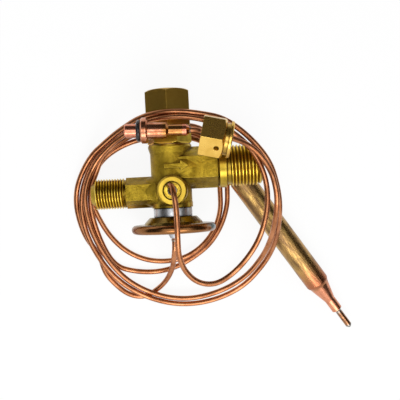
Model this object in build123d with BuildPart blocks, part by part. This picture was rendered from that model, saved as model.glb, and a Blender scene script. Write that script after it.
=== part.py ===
from build123d import *
import os
from math import acos, atan2, cos, degrees, radians, sin, tan

# Thermostatic expansion valve, in millimetres. Each rigid piece is built upright, in the valve's own
# frame: X runs with the flow, -Y is the side of the equaliser boss, Z is the spindle axis, and the
# origin is where the inlet axis crosses it. The finished valve lies on its back on the rim of its
# head and on one turn of its sensing tube, and LYING turns every piece of it down together.

# Body
BARREL_R = 10.4
BARREL_FOOT_R = 10.6
BARREL_FOOT_H = 2.4
BARREL_FOOT_STEP = 0.4
BARREL_TOP_R = 11.3
FLARE_FROM_Z = 19.4
FLARE_TO_Z = 22.6
BODY_BOTTOM_Z = -8.6
BODY_TOP_Z = 23.5
INLET_FLATS = 14.0
INLET_THREAD_X = -23.5
INLET_NOSE_X = -39.2
INLET_END_X = -41.5
INLET_ROOT_R = 7.0
INLET_TIP_R = 5.2
INLET_BORE_R = 3.95
INLET_BORE_END_X = -12.0
INLET_FEED_R = 2.4
OUTLET_Z = 11.6
OUTLET_FLATS = 19.0
OUTLET_COLLAR_X = 24.3
OUTLET_COLLAR_L = 4.9
OUTLET_COLLAR_R = 11.2
COLLAR_FLANK = 0.8
COLLAR_EDGE = 0.6
OUTLET_END_X = 47.7
OUTLET_ROOT_R = 9.7
OUTLET_TIP_R = 8.2
OUTLET_BORE_R = 6.5
OUTLET_BORE_END_X = 17.0
OUTLET_PORT_R = 3.4
NECK_START_X = 8.0
NECK_END_X = 13.4
NECK_R = 10.4
ROOT_R = 8.6
BOSS_X = 0.6
BOSS_FACE = 15.0
BOSS_FACE_R = 6.9
BOSS_ROOT_R = 7.9
BOSS_CHAMFER = 0.7
BOSS_BORE_R = 4.7
BOSS_BORE_FLOOR = 8.5
ARROW_L = 12.4
ARROW_HEAD_L = 4.2
ARROW_HEAD_W = 5.2
ARROW_SHAFT_W = 2.1
ARROW_TAIL_X = -2.9
ARROW_Z = 12.6
ARROW_FACE = 10.9
ARROW_FOOT = 8.6

# Fits: the radial clearance of pieces that seat in each other, and of those that turn or slide
FIT = 0.05

# Seat, spindle train and their bores
SOCKET_R = 8.5
SOCKET_FLOOR_Z = 15.2
CHAMBER_R = 8.0
CHAMBER_FLOOR_Z = 8.0
SEAT_BORE_R = 4.0
SEAT_FLOOR_Z = 2.5
FEED_CHAMBER_R = 3.2
FEED_FLOOR_Z = -3.0
ROD_R = 1.2
GUIDE_END_Z = -4.6
SEAL_POCKET_R = 3.0
SEAL_L = 2.4
RECESS_R = 6.5
RETAINER_T = 1.1
ORIFICE_R = 1.9
ORIFICE_LAND = 1.5
ORIFICE_RELIEF_R = 2.6
NEEDLE_R = 2.4
NEEDLE_TIP_R = 1.2
NEEDLE_BODY_L = 1.4
NEEDLE_STEM_R = 1.5
NEEDLE_STEM_L = 2.6
HOLDER_SKIRT_R = 3.1
HOLDER_DISC_R = 5.6
HOLDER_DISC_T = 1.5
HOLDER_PILOT_R = 3.6
HOLDER_PILOT_L = 1.8
HOLDER_CHAMFER = 0.4
HOLDER_LOBE_W = 3.0

# Equaliser passage and bush
PORT_X = -0.5
PORT_Z = 2.6
PORT_R = 0.7
DOWN_PORT_Y = -5.3
BUSH_FACE = 11.6
BUSH_GROOVE = 0.25
TUBE_R = 1.4
TUBE_INSERT = 1.6
GAS_HOLE_R = 0.6

# Bonnet, spindle and cap
GASKET_T = 0.5
GASKET_INSET = 0.4
BONNET_FLATS = 20.2
BONNET_H = 8.6
BONNET_TURN = 21.0
BONNET_CHAMFER_R = 10.3
BONNET_CHAMFER_H = 0.9
BONNET_STUD_R = 8.0
BONNET_STUD_TOP_Z = 46.0
BONNET_STUD_CHAMFER = 1.0
SPRING_ROOM_R = 6.4
SPRING_ROOM_TOP_Z = 30.0
KEYWAY_R = 7.1
KEYWAY_W = 2.2
CAP_FLATS = 22.3
CAP_GASKET_T = 0.6
CAP_GASKET_INSET = 0.2
CAP_TOP_Z = 52.0
CAP_CROWN_DROP = 1.2
CAP_CROWN_R = 10.8
CAP_ROOM_TOP_Z = 46.8
CAP_DRILL_TIP = 2.2
CAP_FOOT_CHAMFER = 1.0
SPINDLE_R = 2.5
SPINDLE_TOP_Z = 44.8
SPINDLE_FLANGE_R = 5.5
SPINDLE_FLANGE_T = 1.5
SPINDLE_SCREW_R = 2.2
SPINDLE_END_Z = 19.0
SLOT_W = 1.0
SLOT_DEPTH = 2.0
ORING_Z = 37.0
ORING_WIRE_R = 0.55
SEAT_DISC_Z = 23.0
SEAT_DISC_T = 2.6
SPRING_R = 4.5
SPRING_WIRE_R = 0.6
SPRING_TURNS = 4

# Head
HEAD_RING_R = 10.0
HEAD_RING_H = 4.8
RING_CHAMFER = 0.35
HAT_R = 12.2
HAT_FOOT_R = 14.8
HAT_H = 3.2
HAT_FOOT_SPREAD = 0.5
HAT_FOOT_RISE = 0.6
HAT_CHAMFER = 0.4
SHEET_T = 1.2
RIM_R = 21.85
RIM_Z = -19.3
EDGE_R = 2.3
DIAPHRAGM_R = 20.5
DIAPHRAGM_T = 0.2
PLATE_R = 12.0
PLATE_T = 1.6
PLATE_CHAMFER = 0.5
PLATE_BOSS_R = 3.0
PLATE_BOSS_H = 1.0
GAS_ROOM_R = 17.0
GAS_ROOM_DEPTH = 1.1
COVER_CROWN = 0.3
FERRULE_R = 3.4
FERRULE_END_R = 1.9
FERRULE_L = 2.7

# Strainer
STRAINER_RIM_X = -25.5
STRAINER_RIM_T = 1.5
STRAINER_TIP_X = -13.0
STRAINER_TIP_R = 1.8
STRAINER_WALL = 0.4

# Equaliser end fitting, along its own axis from the tip
PILOT_R = 3.4
PILOT_L = 5.7
PILOT_CHAMFER = 0.5
PILOT_BORE_R = 2.2
PILOT_BORE_L = 22.0
SEAL_RING_R = 1.1
SEAL_GROOVE = 0.3
BEAD_R = 6.3
BEAD_L = 3.3
BEAD_CHAMFER = 0.6
STEM_R = 4.15
STEM_L = 9.7
STEM_SLOPE_START = 0.8
STEM_SLOPE_END = 0.4
SHANK_R = 2.85
SHANK_L = 9.0
SHANK_CONE_L = 1.5
SHANK_END_R = 1.85

# Flare nut, along its own axis from the mouth
NUT_FLATS = 18.4
NUT_L = 15.0
NUT_BORE_R = 7.0
NUT_BORE_L = 9.5
NUT_HOLE_R = 4.4
NUT_CHAMFER = 1.6
NUT_CHAMFER_INSET = 0.6
NUT_CORNER_CUT_R = 0.5
NUT_CORNER_CUT_L = 0.4
NUT_MOUTH_CHAMFER = 0.8
NUT_VENT_R = 1.25
NUT_VENT_FROM_MOUTH = 7.6

# Sensing bulb, along its own axis from the shoulder at the tube end
BULB_R = 6.65
BULB_BODY_L = 73.0
BULB_SHOULDER_L = 2.4
BULB_SHOULDER_R = 5.7
BULB_TAPER_L = 11.0
BULB_TAIL_R = 3.0
BULB_TAIL_L = 7.2
BULB_CONE_L = 7.6
BULB_EDGE = 0.6
BULB_EDGE_L = 1.2
BULB_NECK_R = 2.65
BULB_NECK_L = 5.9
CHARGE_R = 1.75
CHARGE_L = 13.3
CHARGE_END_R = 0.9
CHARGE_PINCH_L = 1.2

# How it lies
ROLL = 9.0
REST_Z = 38.8
FLOOR_GAP = 0.03
ARC_SHARE = 0.45
EXIT_RUN = 6.6
BULB_SHOULDER = (36.5, -11.5)
BULB_HEADING = -54.9
NUT_MOUTH = (8.5, 14.4, 47.5)
NUT_HEADING = -12.5
NUT_CLIMB = 10.15
NUT_ROLL = 6.3
FITTING_TIP = (-27.3, 17.2, 37.3)
FITTING_HEADING = -1.0
FITTING_CLIMB = 9.15


def across_corners(flats):
    """Radius over the corners of a hexagon."""
    return flats / 2 / cos(radians(30))


def outline(points, plane=Plane.XZ):
    """A closed face from corner points, on the plane of a turned piece's axis."""
    with BuildSketch(plane) as face:
        with BuildLine():
            Polyline(*points, close=True)
        make_face()
    return face.sketch


def hexagon(flats, plane, turn):
    """A hexagon face, one corner turned by an angle from the plane's x direction."""
    with BuildSketch(plane) as face:
        RegularPolygon(across_corners(flats), 6, rotation=turn)
    return face.sketch


OUTLET_AXIS = Axis((0, 0, OUTLET_Z), (1, 0, 0))
OUTLET_PLANE = Plane((0, 0, OUTLET_Z), x_dir=(0, 1, 0), z_dir=(1, 0, 0))
BOSS_AXIS = Axis((BOSS_X, 0, 0), (0, -1, 0))

# The forged body: a barrel with its two arms and the boss, all bored and turned
with BuildPart() as valve_body:
    revolve(outline([
        (0, BODY_BOTTOM_Z),
        (BARREL_FOOT_R, BODY_BOTTOM_Z),
        (BARREL_FOOT_R, BODY_BOTTOM_Z + BARREL_FOOT_H),
        (BARREL_R, BODY_BOTTOM_Z + BARREL_FOOT_H + BARREL_FOOT_STEP),
        (BARREL_R, FLARE_FROM_Z),
        (BARREL_TOP_R, FLARE_TO_Z),
        (BARREL_TOP_R, BODY_TOP_Z),
        (0, BODY_TOP_Z),
    ]), axis=Axis.Z)
    # inlet arm: hexagon bar, thread root and 45 degree flare nose
    extrude(hexagon(INLET_FLATS, Plane.YZ, 30), amount=INLET_THREAD_X)
    revolve(outline([
        (INLET_END_X, 0),
        (INLET_END_X, INLET_TIP_R),
        (INLET_NOSE_X, INLET_ROOT_R),
        (INLET_THREAD_X, INLET_ROOT_R),
        (INLET_THREAD_X, 0),
    ]), axis=Axis.X)
    revolve(outline([
        (-NECK_END_X, 0),
        (-NECK_END_X, INLET_ROOT_R),
        (-NECK_START_X, ROOT_R),
        (0, ROOT_R),
        (0, 0),
    ]), axis=Axis.X)
    # outlet arm: cone neck, hexagon bar, round collar, thread root and nose
    extrude(hexagon(OUTLET_FLATS, OUTLET_PLANE, 30), amount=OUTLET_COLLAR_X)
    revolve(outline([
        (0, OUTLET_Z),
        (0, OUTLET_Z + NECK_R),
        (NECK_START_X, OUTLET_Z + NECK_R),
        (NECK_END_X, OUTLET_Z + OUTLET_FLATS / 2),
        (OUTLET_COLLAR_X, OUTLET_Z + OUTLET_FLATS / 2),
        (OUTLET_COLLAR_X + COLLAR_FLANK, OUTLET_Z + OUTLET_COLLAR_R),
        (OUTLET_COLLAR_X + OUTLET_COLLAR_L - COLLAR_EDGE, OUTLET_Z + OUTLET_COLLAR_R),
        (OUTLET_COLLAR_X + OUTLET_COLLAR_L, OUTLET_Z + OUTLET_ROOT_R),
        (OUTLET_END_X - (OUTLET_ROOT_R - OUTLET_TIP_R), OUTLET_Z + OUTLET_ROOT_R),
        (OUTLET_END_X, OUTLET_Z + OUTLET_TIP_R),
        (OUTLET_END_X, OUTLET_Z),
    ]), axis=OUTLET_AXIS)
    # equaliser boss
    revolve(outline([
        (BOSS_X, 0),
        (BOSS_X + BOSS_ROOT_R, 0),
        (BOSS_X + BOSS_ROOT_R, -BARREL_R),
        (BOSS_X + BOSS_FACE_R + BOSS_CHAMFER, -BOSS_FACE + BOSS_CHAMFER),
        (BOSS_X + BOSS_FACE_R, -BOSS_FACE),
        (BOSS_X, -BOSS_FACE),
    ], Plane.XY), axis=BOSS_AXIS)
    # raised flow arrow
    ARROW_NECK_X = ARROW_TAIL_X + ARROW_L - ARROW_HEAD_L
    extrude(outline([
        (ARROW_TAIL_X, ARROW_Z - ARROW_SHAFT_W / 2),
        (ARROW_NECK_X, ARROW_Z - ARROW_SHAFT_W / 2),
        (ARROW_NECK_X, ARROW_Z - ARROW_HEAD_W / 2),
        (ARROW_TAIL_X + ARROW_L, ARROW_Z),
        (ARROW_NECK_X, ARROW_Z + ARROW_HEAD_W / 2),
        (ARROW_NECK_X, ARROW_Z + ARROW_SHAFT_W / 2),
        (ARROW_TAIL_X, ARROW_Z + ARROW_SHAFT_W / 2),
    ], Plane.XZ.offset(ARROW_FOOT)), amount=ARROW_FACE - ARROW_FOOT)
    # stepped bore from the bonnet socket down to the head
    revolve(outline([
        (0, BODY_TOP_Z),
        (SOCKET_R, BODY_TOP_Z),
        (SOCKET_R, SOCKET_FLOOR_Z),
        (CHAMBER_R, SOCKET_FLOOR_Z),
        (CHAMBER_R, CHAMBER_FLOOR_Z),
        (SEAT_BORE_R, CHAMBER_FLOOR_Z),
        (SEAT_BORE_R, SEAT_FLOOR_Z),
        (FEED_CHAMBER_R, SEAT_FLOOR_Z),
        (FEED_CHAMBER_R, FEED_FLOOR_Z),
        (ROD_R + FIT, FEED_FLOOR_Z),
        (ROD_R + FIT, GUIDE_END_Z),
        (SEAL_POCKET_R, GUIDE_END_Z),
        (SEAL_POCKET_R, GUIDE_END_Z - SEAL_L),
        (RECESS_R, GUIDE_END_Z - SEAL_L),
        (RECESS_R, BODY_BOTTOM_Z),
        (0, BODY_BOTTOM_Z),
    ]), axis=Axis.Z, mode=Mode.SUBTRACT)
    # inlet and outlet bores
    revolve(outline([
        (INLET_END_X, 0),
        (INLET_END_X, INLET_BORE_R),
        (INLET_BORE_END_X, INLET_BORE_R),
        (INLET_BORE_END_X + INLET_BORE_R - INLET_FEED_R, INLET_FEED_R),
        (0, INLET_FEED_R),
        (0, 0),
    ]), axis=Axis.X, mode=Mode.SUBTRACT)
    revolve(outline([
        (0, OUTLET_Z),
        (0, OUTLET_Z + OUTLET_PORT_R),
        (OUTLET_BORE_END_X - (OUTLET_BORE_R - OUTLET_PORT_R), OUTLET_Z + OUTLET_PORT_R),
        (OUTLET_BORE_END_X, OUTLET_Z + OUTLET_BORE_R),
        (OUTLET_END_X, OUTLET_Z + OUTLET_BORE_R),
        (OUTLET_END_X, OUTLET_Z),
    ]), axis=OUTLET_AXIS, mode=Mode.SUBTRACT)
    # boss bore, and the drilled passage from it to the space over the diaphragm
    revolve(outline([
        (BOSS_X, -BOSS_BORE_FLOOR),
        (BOSS_X + BOSS_BORE_R, -BOSS_BORE_FLOOR),
        (BOSS_X + BOSS_BORE_R, -BOSS_FACE),
        (BOSS_X, -BOSS_FACE),
    ], Plane.XY), axis=BOSS_AXIS, mode=Mode.SUBTRACT)
    with BuildSketch(Plane.XZ.offset(BOSS_BORE_FLOOR)):
        with Locations((PORT_X, PORT_Z)):
            Circle(PORT_R)
    extrude(amount=DOWN_PORT_Y - PORT_R + BOSS_BORE_FLOOR, dir=(0, 1, 0), mode=Mode.SUBTRACT)
    with BuildSketch(Plane.XY.offset(BODY_BOTTOM_Z)):
        with Locations((PORT_X, DOWN_PORT_Y)):
            Circle(PORT_R)
    extrude(amount=PORT_Z - BODY_BOTTOM_Z, mode=Mode.SUBTRACT)

ORIFICE_TOP_Z = CHAMBER_FLOOR_Z
with BuildPart() as orifice_seat:
    revolve(outline([
        (ORIFICE_R, ORIFICE_TOP_Z),
        (SEAT_BORE_R - FIT, ORIFICE_TOP_Z),
        (SEAT_BORE_R - FIT, SEAT_FLOOR_Z),
        (ORIFICE_RELIEF_R, SEAT_FLOOR_Z),
        (ORIFICE_RELIEF_R, ORIFICE_TOP_Z - ORIFICE_LAND - ORIFICE_RELIEF_R + ORIFICE_R),
        (ORIFICE_R, ORIFICE_TOP_Z - ORIFICE_LAND),
    ]), axis=Axis.Z)

# The needle's 45 degree cone closes on the orifice edge, a running gap off it at rest
NEEDLE_SHOULDER_Z = ORIFICE_TOP_Z + (NEEDLE_R - ORIFICE_R) + FIT
NEEDLE_TIP_Z = NEEDLE_SHOULDER_Z - (NEEDLE_R - NEEDLE_TIP_R)
NEEDLE_TOP_Z = NEEDLE_SHOULDER_Z + NEEDLE_BODY_L
with BuildPart() as valve_needle:
    revolve(outline([
        (0, NEEDLE_TIP_Z),
        (NEEDLE_TIP_R, NEEDLE_TIP_Z),
        (NEEDLE_R, NEEDLE_SHOULDER_Z),
        (NEEDLE_R, NEEDLE_TOP_Z),
        (NEEDLE_STEM_R, NEEDLE_TOP_Z),
        (NEEDLE_STEM_R, NEEDLE_TOP_Z + NEEDLE_STEM_L),
        (0, NEEDLE_TOP_Z + NEEDLE_STEM_L),
    ]), axis=Axis.Z)

HOLDER_TOP_Z = NEEDLE_TOP_Z + NEEDLE_STEM_L + HOLDER_DISC_T / 2
with BuildPart() as needle_holder:
    revolve(outline([
        (0, NEEDLE_TOP_Z + NEEDLE_STEM_L),
        (NEEDLE_STEM_R + FIT, NEEDLE_TOP_Z + NEEDLE_STEM_L),
        (NEEDLE_STEM_R + FIT, NEEDLE_TOP_Z),
        (HOLDER_SKIRT_R, NEEDLE_TOP_Z),
        (HOLDER_SKIRT_R, HOLDER_TOP_Z - HOLDER_DISC_T),
        (HOLDER_DISC_R, HOLDER_TOP_Z - HOLDER_DISC_T),
        (HOLDER_DISC_R, HOLDER_TOP_Z),
        (HOLDER_PILOT_R, HOLDER_TOP_Z),
        (HOLDER_PILOT_R, HOLDER_TOP_Z + HOLDER_PILOT_L - HOLDER_CHAMFER),
        (HOLDER_PILOT_R - HOLDER_CHAMFER, HOLDER_TOP_Z + HOLDER_PILOT_L),
        (0, HOLDER_TOP_Z + HOLDER_PILOT_L),
    ]), axis=Axis.Z)
    # three lobes centre it in the chamber and let the refrigerant past
    with BuildSketch(Plane.XY.offset(HOLDER_TOP_Z - HOLDER_DISC_T)):
        with PolarLocations(0, 3):
            with Locations((HOLDER_SKIRT_R, 0)):
                Rectangle(CHAMBER_R, HOLDER_LOBE_W, align=(Align.MIN, Align.CENTER))
        Circle(CHAMBER_R - FIT, mode=Mode.INTERSECT)
    extrude(amount=HOLDER_DISC_T)

PLATE_Z = RIM_Z + DIAPHRAGM_T / 2
with BuildPart() as push_rod:
    revolve(outline([
        (0, PLATE_Z + PLATE_T),
        (ROD_R, PLATE_Z + PLATE_T),
        (ROD_R, NEEDLE_TIP_Z),
        (0, NEEDLE_TIP_Z),
    ]), axis=Axis.Z)

with BuildPart() as buffer_plate:
    revolve(outline([
        (0, PLATE_Z),
        (PLATE_R - PLATE_CHAMFER, PLATE_Z),
        (PLATE_R, PLATE_Z + PLATE_CHAMFER),
        (PLATE_R, PLATE_Z + PLATE_T),
        (PLATE_BOSS_R, PLATE_Z + PLATE_T),
        (PLATE_BOSS_R, PLATE_Z + PLATE_T + PLATE_BOSS_H),
        (ROD_R + FIT, PLATE_Z + PLATE_T + PLATE_BOSS_H),
        (ROD_R + FIT, PLATE_Z + PLATE_T),
        (0, PLATE_Z + PLATE_T),
    ]), axis=Axis.Z)

SEAL_END_Z = GUIDE_END_Z - SEAL_L
with BuildPart() as rod_seal:
    revolve(outline([
        (ROD_R + FIT, GUIDE_END_Z),
        (SEAL_POCKET_R - FIT, GUIDE_END_Z),
        (SEAL_POCKET_R - FIT, SEAL_END_Z),
        (ROD_R + FIT, SEAL_END_Z),
    ]), axis=Axis.Z)

with BuildPart() as seal_retainer:
    revolve(outline([
        (ROD_R + 4 * FIT, SEAL_END_Z),
        (RECESS_R - FIT, SEAL_END_Z),
        (RECESS_R - FIT, SEAL_END_Z - RETAINER_T),
        (ROD_R + 4 * FIT, SEAL_END_Z - RETAINER_T),
    ]), axis=Axis.Z)
    # notch under the equaliser passage
    with BuildSketch(Plane.XY.offset(SEAL_END_Z)):
        with Locations((PORT_X, DOWN_PORT_Y)):
            Circle(PORT_R)
    extrude(amount=-RETAINER_T, mode=Mode.SUBTRACT)

with BuildPart() as equaliser_bush:
    revolve(outline([
        (BOSS_X, -BOSS_BORE_FLOOR),
        (BOSS_X + BOSS_BORE_R - FIT, -BOSS_BORE_FLOOR),
        (BOSS_X + BOSS_BORE_R - FIT, -BUSH_FACE + BUSH_GROOVE),
        (BOSS_X + BOSS_BORE_R - FIT - BUSH_GROOVE, -BUSH_FACE),
        (BOSS_X, -BUSH_FACE),
    ], Plane.XY), axis=BOSS_AXIS)
    with BuildSketch(Plane.XZ.offset(BUSH_FACE)):
        with Locations((PORT_X, PORT_Z)):
            Circle(TUBE_R + FIT)
    extrude(amount=-TUBE_INSERT, mode=Mode.SUBTRACT)
    with BuildSketch(Plane.XZ.offset(BUSH_FACE)):
        with Locations((PORT_X, PORT_Z)):
            Circle(GAS_HOLE_R)
    extrude(amount=-(BUSH_FACE - BOSS_BORE_FLOOR), mode=Mode.SUBTRACT)

with BuildPart() as bonnet_gasket:
    with BuildSketch(Plane.XY.offset(BODY_TOP_Z)):
        Circle(BARREL_TOP_R - GASKET_INSET)
        Circle(SOCKET_R, mode=Mode.SUBTRACT)
    extrude(amount=GASKET_T)

BONNET_Z = BODY_TOP_Z + GASKET_T
BONNET_TOP_Z = BONNET_Z + BONNET_H
BONNET_CORNER_R = across_corners(BONNET_FLATS)
with BuildPart() as bonnet:
    extrude(hexagon(BONNET_FLATS, Plane.XY.offset(BONNET_Z), BONNET_TURN - 90), amount=BONNET_H)
    revolve(outline([
        (0, BONNET_Z),
        (BONNET_CHAMFER_R, BONNET_Z),
        (BONNET_CORNER_R, BONNET_Z + BONNET_CHAMFER_H),
        (BONNET_CORNER_R, BONNET_TOP_Z),
        (0, BONNET_TOP_Z),
    ]), axis=Axis.Z, mode=Mode.INTERSECT)
    revolve(outline([
        (0, SOCKET_FLOOR_Z),
        (SOCKET_R - FIT, SOCKET_FLOOR_Z),
        (SOCKET_R - FIT, BONNET_Z),
        (0, BONNET_Z),
    ]), axis=Axis.Z)
    revolve(outline([
        (0, BONNET_TOP_Z),
        (BONNET_STUD_R, BONNET_TOP_Z),
        (BONNET_STUD_R, BONNET_STUD_TOP_Z - BONNET_STUD_CHAMFER),
        (BONNET_STUD_R - BONNET_STUD_CHAMFER, BONNET_STUD_TOP_Z),
        (0, BONNET_STUD_TOP_Z),
    ]), axis=Axis.Z)
    revolve(outline([
        (0, SOCKET_FLOOR_Z),
        (SPRING_ROOM_R, SOCKET_FLOOR_Z),
        (SPRING_ROOM_R, SPRING_ROOM_TOP_Z),
        (SPINDLE_R + FIT, SPRING_ROOM_TOP_Z),
        (SPINDLE_R + FIT, BONNET_STUD_TOP_Z),
        (0, BONNET_STUD_TOP_Z),
    ]), axis=Axis.Z, mode=Mode.SUBTRACT)
    # keyway that keeps the spring seat from turning with the spindle
    with BuildSketch(Plane.XY.offset(SOCKET_FLOOR_Z)):
        Rectangle(KEYWAY_R, KEYWAY_W, align=(Align.MIN, Align.CENTER))
    extrude(amount=SPRING_ROOM_TOP_Z - SOCKET_FLOOR_Z, mode=Mode.SUBTRACT)

FLANGE_TOP_Z = SPRING_ROOM_TOP_Z - FIT
FLANGE_Z = FLANGE_TOP_Z - SPINDLE_FLANGE_T
with BuildPart() as adjusting_spindle:
    revolve(outline([
        (0, SPINDLE_END_Z),
        (SPINDLE_SCREW_R, SPINDLE_END_Z),
        (SPINDLE_SCREW_R, FLANGE_Z),
        (SPINDLE_FLANGE_R, FLANGE_Z),
        (SPINDLE_FLANGE_R, FLANGE_TOP_Z),
        (SPINDLE_R, FLANGE_TOP_Z),
        (SPINDLE_R, ORING_Z - ORING_WIRE_R - FIT),
        (SPINDLE_R - 2 * ORING_WIRE_R, ORING_Z - ORING_WIRE_R - FIT),
        (SPINDLE_R - 2 * ORING_WIRE_R, ORING_Z + ORING_WIRE_R + FIT),
        (SPINDLE_R, ORING_Z + ORING_WIRE_R + FIT),
        (SPINDLE_R, SPINDLE_TOP_Z),
        (0, SPINDLE_TOP_Z),
    ]), axis=Axis.Z)
    # screwdriver slot
    with BuildSketch(Plane.XY.offset(SPINDLE_TOP_Z)):
        Rectangle(3 * SPINDLE_R, SLOT_W)
    extrude(amount=-SLOT_DEPTH, mode=Mode.SUBTRACT)

with BuildPart() as spindle_oring:
    with BuildSketch(Plane.XZ):
        with Locations((SPINDLE_R - ORING_WIRE_R + FIT / 2, ORING_Z)):
            Circle(ORING_WIRE_R - FIT / 2)
    revolve(axis=Axis.Z)

with BuildPart() as spring_seat:
    with BuildSketch(Plane.XY.offset(SEAT_DISC_Z)):
        Circle(SPRING_ROOM_R - 2 * FIT)
        with Locations((SPRING_R, 0)):
            Rectangle(KEYWAY_R - SPRING_R - FIT, KEYWAY_W - 4 * FIT, align=(Align.MIN, Align.CENTER))
        Circle(SPINDLE_SCREW_R + FIT, mode=Mode.SUBTRACT)
    extrude(amount=SEAT_DISC_T)

SPRING_BASE_Z = HOLDER_TOP_Z + SPRING_WIRE_R + FIT
SPRING_RISE = SEAT_DISC_Z - SPRING_WIRE_R - FIT - SPRING_BASE_Z
with BuildPart() as superheat_spring:
    with BuildLine() as coil:
        Helix(SPRING_RISE / SPRING_TURNS, SPRING_RISE, SPRING_R, center=(0, 0, SPRING_BASE_Z))
    with BuildSketch(Plane(coil.line @ 0, z_dir=coil.line % 0)):
        Circle(SPRING_WIRE_R)
    sweep(path=coil.line, is_frenet=True)

CAP_Z = BONNET_TOP_Z + CAP_GASKET_T
CAP_CORNER_R = across_corners(CAP_FLATS)
with BuildPart() as cap_gasket:
    with BuildSketch(Plane.XY.offset(BONNET_TOP_Z)):
        Circle(BONNET_FLATS / 2 - CAP_GASKET_INSET)
        Circle(BONNET_STUD_R + 4 * FIT, mode=Mode.SUBTRACT)
    extrude(amount=CAP_GASKET_T)

with BuildPart() as seal_cap:
    extrude(hexagon(CAP_FLATS, Plane.XY.offset(CAP_Z), -90), amount=CAP_TOP_Z - CAP_Z)
    revolve(outline([
        (0, CAP_Z),
        (CAP_CORNER_R - CAP_FOOT_CHAMFER, CAP_Z),
        (CAP_CORNER_R, CAP_Z + CAP_FOOT_CHAMFER / 2),
        (CAP_CORNER_R, CAP_TOP_Z - CAP_CROWN_DROP),
        (CAP_CROWN_R, CAP_TOP_Z),
        (0, CAP_TOP_Z),
    ]), axis=Axis.Z, mode=Mode.INTERSECT)
    revolve(outline([
        (0, CAP_Z),
        (BONNET_STUD_R + FIT, CAP_Z),
        (BONNET_STUD_R + FIT, CAP_ROOM_TOP_Z),
        (0, CAP_ROOM_TOP_Z + CAP_DRILL_TIP),
    ]), axis=Axis.Z, mode=Mode.SUBTRACT)

HEAD_TOP_Z = BODY_BOTTOM_Z - HEAD_RING_H
with BuildPart() as head_ring:
    revolve(outline([
        (RECESS_R, BODY_BOTTOM_Z),
        (HEAD_RING_R - RING_CHAMFER, BODY_BOTTOM_Z),
        (HEAD_RING_R, BODY_BOTTOM_Z - RING_CHAMFER),
        (HEAD_RING_R, HEAD_TOP_Z + RING_CHAMFER),
        (HEAD_RING_R - RING_CHAMFER, HEAD_TOP_Z),
        (RECESS_R, HEAD_TOP_Z),
    ]), axis=Axis.Z)

RIM_CENTRE_R = RIM_R - EDGE_R
DIAPHRAGM_TOP_Z = RIM_Z + DIAPHRAGM_T / 2
DIAPHRAGM_BOTTOM_Z = RIM_Z - DIAPHRAGM_T / 2
# Pressed upper cup: a hat over the buffer plate, and a flange welded to the lower cover at the rim
with BuildPart() as head_upper_cup:
    with BuildSketch(Plane.XZ):
        with BuildLine():
            Polyline(
                (RIM_CENTRE_R, RIM_Z + EDGE_R),
                (HAT_FOOT_R + HAT_FOOT_SPREAD, RIM_Z + EDGE_R),
                (HAT_FOOT_R, HEAD_TOP_Z - HAT_H + HAT_FOOT_RISE),
                (HAT_R + HAT_CHAMFER, HEAD_TOP_Z - HAT_CHAMFER),
                (HAT_R, HEAD_TOP_Z),
                (RECESS_R, HEAD_TOP_Z),
                (RECESS_R, HEAD_TOP_Z - SHEET_T),
                (HAT_R - SHEET_T, HEAD_TOP_Z - SHEET_T),
                (HAT_FOOT_R - SHEET_T, HEAD_TOP_Z - SHEET_T - HAT_H + HAT_FOOT_RISE),
                (HAT_FOOT_R - SHEET_T, DIAPHRAGM_TOP_Z),
                (DIAPHRAGM_R, DIAPHRAGM_TOP_Z),
                (DIAPHRAGM_R, RIM_Z),
                (RIM_R, RIM_Z),
            )
            CenterArc((RIM_CENTRE_R, RIM_Z), EDGE_R, 0, 90)
        make_face()
    revolve(axis=Axis.Z)

with BuildPart() as diaphragm:
    with BuildSketch(Plane.XY.offset(DIAPHRAGM_BOTTOM_Z)):
        Circle(DIAPHRAGM_R - FIT)
    extrude(amount=DIAPHRAGM_T)

COVER_BOTTOM_Z = RIM_Z - EDGE_R - COVER_CROWN
with BuildPart() as head_cover:
    with BuildSketch(Plane.XZ):
        with BuildLine():
            Polyline(
                (RIM_R, RIM_Z),
                (DIAPHRAGM_R, RIM_Z),
                (DIAPHRAGM_R, DIAPHRAGM_BOTTOM_Z),
                (GAS_ROOM_R, DIAPHRAGM_BOTTOM_Z),
                (GAS_ROOM_R - GAS_ROOM_DEPTH, DIAPHRAGM_BOTTOM_Z - GAS_ROOM_DEPTH),
                (GAS_HOLE_R, DIAPHRAGM_BOTTOM_Z - GAS_ROOM_DEPTH),
                (GAS_HOLE_R, COVER_BOTTOM_Z),
                (RIM_CENTRE_R / 2, COVER_BOTTOM_Z),
                (RIM_CENTRE_R, RIM_Z - EDGE_R),
            )
            CenterArc((RIM_CENTRE_R, RIM_Z), EDGE_R, 270, 90)
        make_face()
    revolve(axis=Axis.Z)

FERRULE_END_Z = COVER_BOTTOM_Z - FERRULE_L
FERRULE_FLOOR_Z = FERRULE_END_Z + TUBE_INSERT
with BuildPart() as head_ferrule:
    revolve(outline([
        (GAS_HOLE_R, COVER_BOTTOM_Z),
        (FERRULE_R, COVER_BOTTOM_Z),
        (FERRULE_END_R, FERRULE_END_Z),
        (TUBE_R + FIT, FERRULE_END_Z),
        (TUBE_R + FIT, FERRULE_FLOOR_Z),
        (GAS_HOLE_R, FERRULE_FLOOR_Z),
    ]), axis=Axis.Z)

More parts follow.
